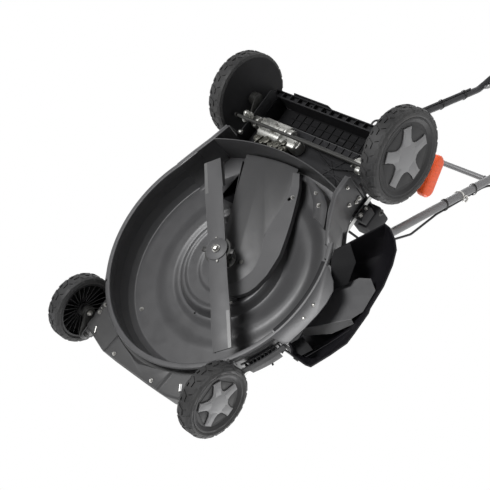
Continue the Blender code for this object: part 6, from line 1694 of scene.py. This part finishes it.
class MOWER_OT_cables(bpy.types.Operator):
    """Control cables, their ties along the tubes and the starter's rope guide"""
    bl_idname = "mower.cables"
    bl_label = "Cables"

    @staticmethod
    def onto(way, right, x, distance, off):
        """Matrix to a place beside a tube, with Z along it and Y away from it."""
        turn = Matrix((Vector((1, 0, 0)), Vector((0, *right)), Vector((0, *way)))).transposed().to_4x4()
        return Matrix.Translation(beside(FOLD, way, right, x, distance, off)) @ turn

    @staticmethod
    def tie(inner, outer, squash, onto):
        """A cable tie, narrowed across the tube."""
        tie = ring_round((0, 0, 0), (0, 0, 1), inner, outer, 0.004)
        return moved(moved(tie, Matrix.Diagonal((squash, 1.0, 1.0, 1.0))), onto)

    def execute(self, context):
        keep, under = 0.014, 0.0185
        to_brake = [(-0.718 * r, CRANK_Y - 0.696 * r, 0.232) for r in (0.126, 0.0868)]
        ends = {-1: [(-0.2005, 0.17, 0.3), (-0.165, 0.225, 0.25)] + to_brake,
                1: [(0.2005, 0.17, 0.3), (0.15, 0.175, 0.225), (0.085, 0.125, 0.195), (0.035, 0.086, 0.195),
                    (0.035, 0.086, 0.1683)]}
        for s, name in ((-1, "stop_cable"), (1, "drive_cable")):
            x, out = s * HANDLE_X, s * (HANDLE_X + under)

            def at(px, distance, off):
                return beside(FOLD, FOLD_WAY, FOLD_RIGHT, px, distance, off)
            pts = [at(s * UPPER_X, 0.0, -under), at(s * (UPPER_X + 0.004), -0.016, -under),
                at(x, -0.045, -under), at(out, -0.06, -under), at(out, -0.092, under), at(x, -0.108, under),
                at(x, -0.14, keep), at(x, -0.33, keep + 0.004), at(x, -0.43, keep + 0.022)] + ends[s]
            low = swept(rounded(pts, 0.03, 8), 0.003, 14)
            last, before = Vector(pts[-1]), Vector(pts[-2])
            sleeve = moved(turned([(0.0028, 0.0), (0.0042, 0.0), (0.0042, 0.014), (0.0034, 0.02),
                (0.0028, 0.02)], "Z", (0, 0, 0), 20), facing(before - last, last))
            piece(name + "_lower_run", joined(low, sleeve), "cable_black", "deck", (name + "_lower",))
            x = s * UPPER_X
            length = (GRIP_LOW - FOLD).length - 0.045
            high = swept([beside(FOLD, UP_WAY, UP_RIGHT, x, 0.0012, -under - 0.0004),
                beside(FOLD, UP_WAY, UP_RIGHT, x, 0.03, -keep - 0.0015), beside(FOLD, UP_WAY, UP_RIGHT, x,
                0.05, -keep), beside(FOLD, UP_WAY, UP_RIGHT, x, length, -keep)], 0.003, 14)
            piece(name + "_upper_run", high, "cable_black", "upper", (name + "_upper",))
            for k, distance in enumerate((0.085, 0.21, 0.325)):
                onto = self.onto(UP_WAY, UP_RIGHT, x, distance, -0.003)
                buckle = moved(block((-0.003, 0.0145, -0.0028), (0.003, 0.0172, 0.0028), 0.0006), onto)
                piece("%s_tie_%d" % (name, k), joined(self.tie(0.0142, 0.0156, 0.8, onto), buckle),
                    "belt_rubber", "upper")
            for k, distance in enumerate((-0.18, -0.3)):
                onto = self.onto(FOLD_WAY, FOLD_RIGHT, s * HANDLE_X, distance, 0.003)
                piece("%s_low_tie_%d" % (name, k), self.tie(0.0152, 0.0165, 0.76, onto), "belt_rubber",
                    "deck")
        spot = beside(FOLD, FOLD_WAY, FOLD_RIGHT, HANDLE_X, -0.235, 0.0)
        turns = []
        for k in range(43):
            a = 2 * math.pi * k / 28
            turns.append(spot + Vector((0.0114 + 0.0055 * k / 43, 0.0085 * math.cos(a),
                0.0085 * math.sin(a) + 0.0085)))
        guide = joined(swept(turns, 0.0016, 10), ring_round(spot, (0, FOLD_WAY.x, FOLD_WAY.y), TUBE, 0.0122,
            0.005), hex_bolt(spot + Vector((-0.0118, 0, 0)), (-1, 0, 0), 0.0045))
        piece("rope_guide", guide, "bolt_steel", "deck")
        return {"FINISHED"}


class MOWER_OT_lever(bpy.types.Operator):
    """Orange grip and neck of the cutting height lever"""
    bl_idname = "mower.lever"
    bl_label = "Height lever"

    def execute(self, context):
        points = []
        for x, t in ((0.2085, 0.0165), (0.2125, 0.0215), (0.2315, 0.0215), (0.2365, 0.0165)):
            for p in (Vector((-0.088, 0.294)), Vector((-0.03, 0.321))):
                points += [(x, p.x + t * math.cos(a), p.y + t * math.sin(a)) for a in angles(18)]
        grip = wrapped(points, 0.0015, 2)
        for k in range(5):
            y, z = -0.083 + 0.012 * k, 0.2965 + 0.0055 * k
            grip = joined(grip, moved(block((-0.0006, -0.0013, -0.014), (0.001, 0.0013, 0.014), 0.0005),
                Matrix.Translation((0.2365, y, z)) @ Matrix.Rotation(0.3, 4, "X")))
        piece("height_grip", grip, "orange_plastic", "lever", ("lever_grip",))
        neck = sheet([(-0.046, 0.262), (-0.01, 0.262), (-0.012, 0.3), (-0.04, 0.328), (-0.07, 0.318),
            (-0.08, 0.298)], "X", 0.2036, 0.209, 0.0004)
        piece("height_lever_neck", neck, "zinc_steel", "lever")
        return {"FINISHED"}


class MOWER_OT_engine(bpy.types.Operator):
    """Mould the engine's shroud, tank, muffler guard, filter and small fittings"""
    bl_idname = "mower.engine"
    bl_label = "Engine"

    @staticmethod
    def ribs(centre, count, reach, z, radius, tall, bevel):
        """Grip ribs round a cap."""
        return [drum("Z", (centre[0] + reach * math.cos(a), centre[1] + reach * math.sin(a), z), radius,
            tall, 8, bevel, 1) for a in angles(count)]

    def execute(self, context):
        corners = ((0.105, 0.298), (0.122, 0.325), (0.122, 0.48), (0.092, 0.56), (0.055, 0.585))

        def cowl(wall, low):
            out = []
            for z, k in ((low, 1.0), (0.35, 1.0), (0.38, 0.9), (0.395, 0.72)):
                for x, y in corners:
                    for s in (-1, 1):
                        dx, dy = x * k - wall, (y - 0.44) * k
                        dy -= math.copysign(wall, dy)
                        out.append((s * dx, 0.44 + dy, z - (wall if z > low else 0)))
            return out
        shell = carved(wrapped(cowl(0.0, 0.2745), 0.008, 3), [wrapped(cowl(0.0032, 0.25))])
        dome = turned([(0.0, 0.425), (0.044, 0.425), (0.054, 0.4225), (0.0625, 0.418), (0.069, 0.408),
            (0.074, 0.391), (0.07, 0.391), (0.059, 0.415), (0.043, 0.4215), (0.0, 0.4215)], "Z",
            (0, CRANK_Y, 0), 96)
        slots = []
        for a in angles(20):
            # No slots where the rope comes out.
            if abs(math.degrees(a) - 290) > 22:
                slots.append(moved(wrapped([(x, y, z) for x in (0.049, 0.0675) for y in (-0.003, 0.003)
                    for z in (0.398, 0.44)], 0.0012, 1), Matrix.Translation((0, CRANK_Y,
                    0)) @ Matrix.Rotation(a, 4, "Z")))
        dome = carved(dome, [joined(*slots), drum("Y", (ROPE_X, CRANK_Y - 0.06, ROPE_Z), 0.0045, 0.06, 24)])
        rings = [turned([(r, 0.4248), (r + 0.0022, 0.4248), (r + 0.0016, 0.4262), (r + 0.0006, 0.4262)],
            "Z", (0, CRANK_Y, 0), 72) for r in (0.012, 0.026, 0.038)]
        piece("cowl", joined(shell, dome, *rings), "engine_plastic", "deck", ("engine_shroud",))
        screen = turned([(0.03, 0.412), (0.06, 0.408), (0.06, 0.407), (0.03, 0.4108)], "Z", (0, CRANK_Y, 0),
            64)
        piece("cowl_screen", screen, "dark_steel", "deck")
        trim = []
        for k in range(8):
            y = 0.345 + 0.016 * k
            trim.append(wrapped([(x, yy, z) for yy in (y - 0.0035, y + 0.0035)
                for x, z in ((-0.1215, 0.29), (-0.1243, 0.292), (-0.1243, 0.327), (-0.1215, 0.333))],
                0.0008, 1))
        for s in (-1, 1):
            for y, z in ((0.3, 0.286), (0.56, 0.286)):
                x = s * (0.106 if y < 0.4 else 0.093)
                trim.append(hex_bolt((x, y, z), (s, 0, 0), 0.0045))
        trim.append(block((-0.052, 0.583, 0.29), (0.052, 0.5868, 0.2925), 0.0006))
        trim.append(block((-0.052, 0.583, 0.33), (0.052, 0.5868, 0.3325), 0.0006))
        piece("cowl_trim", joined(*trim), "black_plastic", "deck")
        guide = turned([(0.003, -0.003), (0.0072, -0.003), (0.0072, 0.001), (0.0058, 0.0042),
            (0.003, 0.0042)], "Y", (ROPE_X, CRANK_Y - 0.0725, ROPE_Z), 32, -1)
        piece("rope_bush", guide, "bolt_steel", "deck")

        y = CRANK_Y - 0.084
        grip = wrapped([(x, y + d, ROPE_Z + z) for x, z in ((-0.0195, 0.0), (0.0795, 0.0), (-0.012, 0.008),
            (0.072, 0.008), (-0.012, -0.008), (0.072, -0.008)) for d in (-0.0178, -0.0002)], 0.003, 3)
        ribs = [block((-0.004 + 0.009 * k, y - 0.0182, 0.3995), (-0.0025 + 0.009 * k, y - 0.017, 0.4145),
            0.0004) for k in range(8)]
        rope = swept([(ROPE_X, CRANK_Y + 0.045, ROPE_Z), (ROPE_X, y - 0.004, ROPE_Z)], 0.0022, 14)
        boss = turned([(0.0022, 0.0), (0.006, 0.0), (0.0045, 0.006), (0.0026, 0.0085)], "Y",
            (ROPE_X, y, ROPE_Z), 24)
        piece("starter_handle", joined(grip, rope, boss, *ribs), "black_plastic", "starter_grip",
            ("recoil_handle",))

        body = block((-0.112, 0.222, 0.282), (0.075, 0.2976, 0.372), 0.014, 4)
        seam = block((-0.1128, 0.2212, 0.3255), (0.0758, 0.2974, 0.3285), 0.0012, 2)
        neck = turned([(0.0142, 0.383), (0.018, 0.383), (0.018, 0.37), (0.0225, 0.3705), (0.0225, 0.366),
            (0.0142, 0.366)], "Z", (*FUEL_NECK, 0), 48)
        well = turned([(0.0, 0.374), (0.0141, 0.374), (0.0141, 0.34), (0.0, 0.34)], "Z", (*FUEL_NECK, 0),
            48)
        body = carved(body, [well])
        pads = [block((x - 0.012, 0.2208, 0.3), (x + 0.012, 0.2225, 0.312), 0.0006) for x in (-0.08, 0.04)]
        piece("tank_shell", joined(body, seam, neck, *pads), "engine_plastic", "deck", ("fuel_tank",))
        cap = [turned([(0.0, 0.397), (0.02, 0.397), (0.0235, 0.3962), (0.0255, 0.394), (0.0257, 0.378),
            (0.0185, 0.378), (0.0185, 0.3835), (0.0, 0.3835)], "Z", (*FUEL_NECK, 0), 64)]
        cap += self.ribs(FUEL_NECK, 24, 0.0255, 0.3862, 0.0012, 0.014, 0.0003)
        cap.append(block((-0.078, 0.2535, 0.3968), (-0.042, 0.2585, 0.4), 0.0012))
        cap.append(drum("Z", (*FUEL_NECK, 0.3972), 0.003, 0.002, 20, 0.0004, 1))
        piece("fuel_cap_ribbed", joined(*cap), "black_plastic", "tank_cap", ("fuel_cap",))
        cap = [turned([(0.0, 0.2655), (0.011, 0.2655), (0.0134, 0.2635), (0.0138, 0.2503), (0.0, 0.2503)],
            "Z", (*OIL_NECK, 0), 48), block((0.0835, 0.328, 0.265), (0.1045, 0.332, 0.2678), 0.001)]
        cap += self.ribs(OIL_NECK, 16, 0.0136, 0.257, 0.0008, 0.011, 0.0002)
        piece("oil_cap_ribbed", joined(*cap), "orange_plastic", "oil_cap", ("oil_filler_cap",))

        cover = block((0.1223, 0.37, 0.282), (0.1676, 0.47, 0.348), 0.009, 4)
        for k in range(5):
            y = 0.384 + 0.018 * k
            cover = joined(cover, wrapped([(x, yy, z) for yy in (y - 0.0022, y + 0.0022)
                for x, z in ((0.167, 0.296), (0.168, 0.2975), (0.168, 0.3325), (0.167, 0.334))], 0.0003, 1))
        clip = swept(rounded([(0.14, 0.3685, 0.35), (0.158, 0.3685, 0.3495), (0.158, 0.3685, 0.3),
            (0.14, 0.3685, 0.3)], 0.006, 4), 0.0012, 10)
        piece("filter_cover", cover, "black_plastic", "deck", ("air_filter_cover",))
        piece("filter_clip", clip, "bolt_steel", "deck")

        can = [block((-0.15, 0.44, 0.196), (-0.092, 0.56, 0.262), 0.0085, 4),
            swept(rounded([(-0.094, 0.53, 0.23), (-0.053, 0.53, 0.23)], 0.01), 0.01, 24),
            turned([(0.005, 0.0), (0.008, 0.0), (0.008, 0.009), (0.0062, 0.009), (0.0055, 0.002)], "X",
            (-0.149, 0.5, 0.215), 28, -1), block((-0.1508, 0.4392, 0.2275), (-0.0912, 0.5608, 0.23), 0.001)]
        for k in range(6):
            y = 0.452 + 0.0175 * k
            can.append(wrapped([(x, y + d, z) for d in (0, 0.009) for x, z in ((-0.1495, 0.236),
                (-0.153, 0.238), (-0.153, 0.254), (-0.1495, 0.256))], 0.0008, 1))
        piece("muffler_can", joined(*can), "muffler_steel", "deck", ("muffler",))

        metal = [block((-0.029, 0.5808, 0.206), (0.029, 0.592, 0.256), 0.0045, 3),
            turned([(0.0, 0.0), (0.0105, 0.0), (0.0105, 0.003), (0.0085, 0.0045), (0.0, 0.0045)], "Z",
            (0, CRANK_Y, 0.1888), 40)]
        metal += [hex_bolt((x, 0.5808, z), (0, 1, 0), 0.0055) for x in (-0.0354, 0.0354)
            for z in (0.203, 0.259)]
        for deg in (30, 60, 120, 150, 240, 270, 300):
            a = math.radians(deg)
            x, y = 0.0865 * math.cos(a), CRANK_Y + 0.0865 * math.sin(a)
            metal.append(drum("Z", (x, y, 0.229), 0.006, 0.058, 16, 0.001, 1))
            metal.append(hex_bolt((x, y, 0.258), (0, 0, 1), 0.0045))
        for k in range(6):
            y = CRANK_Y + 0.095 + 0.015 * k
            metal.append(block((-0.0535, y + 0.0006, 0.199), (0.0535, y + 0.0034, 0.2625), 0.0008))
        metal.append(turned([(0.0862, 0.224), (0.0875, 0.224), (0.0875, 0.229), (0.0862, 0.229)], "Z",
            (0, CRANK_Y, 0), 80))
        piece("block_castings", joined(*metal), "cast_aluminium", "deck")
        plug = drum("Y", (0.0, 0.595, 0.233), 0.008, 0.008, 6, 0.0006, 1)
        piece("spark_plug", plug, "bolt_steel", "deck")
        boot = [turned([(0.0, 0.0), (0.0072, 0.0), (0.0072, 0.004), (0.0062, 0.008), (0.0062, 0.02),
            (0.0045, 0.024), (0.0, 0.024)], "Y", (0.0, 0.5982, 0.233), 28),
            swept(rounded([(0.0, 0.615, 0.2345), (0.0, 0.619, 0.252), (0.018, 0.606, 0.282),
            (0.03, 0.584, 0.296)], 0.012, 6), 0.0035, 14)]
        piece("plug_lead", joined(*boot), "belt_rubber", "deck")
        return {"FINISHED"}


class MOWER_OT_tunnel(bpy.types.Operator):
    """Springs of the rear flap and the rib along its lower edge"""
    bl_idname = "mower.tunnel"
    bl_label = "Rear tunnel"

    def execute(self, context):
        low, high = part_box("rear_flap")
        low, high = Vector(low) - SHIFT, Vector(high) - SHIFT
        edge = block((low.x + 0.004, low.y + 0.0035, low.z + 0.003), (high.x - 0.004, low.y + 0.0075,
            low.z + 0.0075), 0.0008)
        pin_y, pin_z, coils = high.y - 0.007, high.z - 0.007, []
        for s, x in ((-1, low.x + 0.03), (1, high.x - 0.03)):
            turns = coil(5, 14, lambda t, c, d: (x + s * 0.012 * t, pin_y + 0.0082 * c, pin_z + 0.0082 * d))
            coils.append(swept(turns, 0.0008, 6))
        piece("rear_flap_springs", joined(*coils), "bolt_steel", "flap_rear")
        piece("rear_flap_edge", edge, "black_plastic", "flap_rear")
        return {"FINISHED"}


class MOWER_PT_panel(bpy.types.Panel):
    """Lists the mower's operators, sizes and colours"""
    bl_idname = "MOWER_PT_panel"
    bl_label = "Petrol lawn mower"
    bl_space_type = "VIEW_3D"
    bl_region_type = "UI"
    bl_category = "Mower"

    def draw(self, context):
        for group in (context.scene.mower_sizes, context.scene.mower_colours):
            column = self.layout.column()
            for key in group.__annotations__:
                column.prop(group, key)
        for made in OPERATORS:
            self.layout.operator(made.bl_idname)


OPERATORS = (MOWER_OT_frame, MOWER_OT_stage, MOWER_OT_deck, MOWER_OT_belt_cover, MOWER_OT_wheels,
    MOWER_OT_blade, MOWER_OT_apron, MOWER_OT_fairing, MOWER_OT_chute, MOWER_OT_drive, MOWER_OT_rear,
    MOWER_OT_handle, MOWER_OT_cables, MOWER_OT_lever, MOWER_OT_engine, MOWER_OT_tunnel)
CLASSES = (MowerSizes, MowerColours) + OPERATORS + (MOWER_PT_panel,)


def register():
    for made in CLASSES:
        bpy.utils.register_class(made)
    bpy.types.Scene.mower_sizes = PointerProperty(type=MowerSizes)
    bpy.types.Scene.mower_colours = PointerProperty(type=MowerColours)


def unregister():
    del bpy.types.Scene.mower_sizes
    del bpy.types.Scene.mower_colours
    for made in reversed(CLASSES):
        bpy.utils.unregister_class(made)


def main():
    register()
    for made in OPERATORS:
        group, name = made.bl_idname.split(".")
        getattr(getattr(bpy.ops, group), name)()


if __name__ == "__main__":
    main()
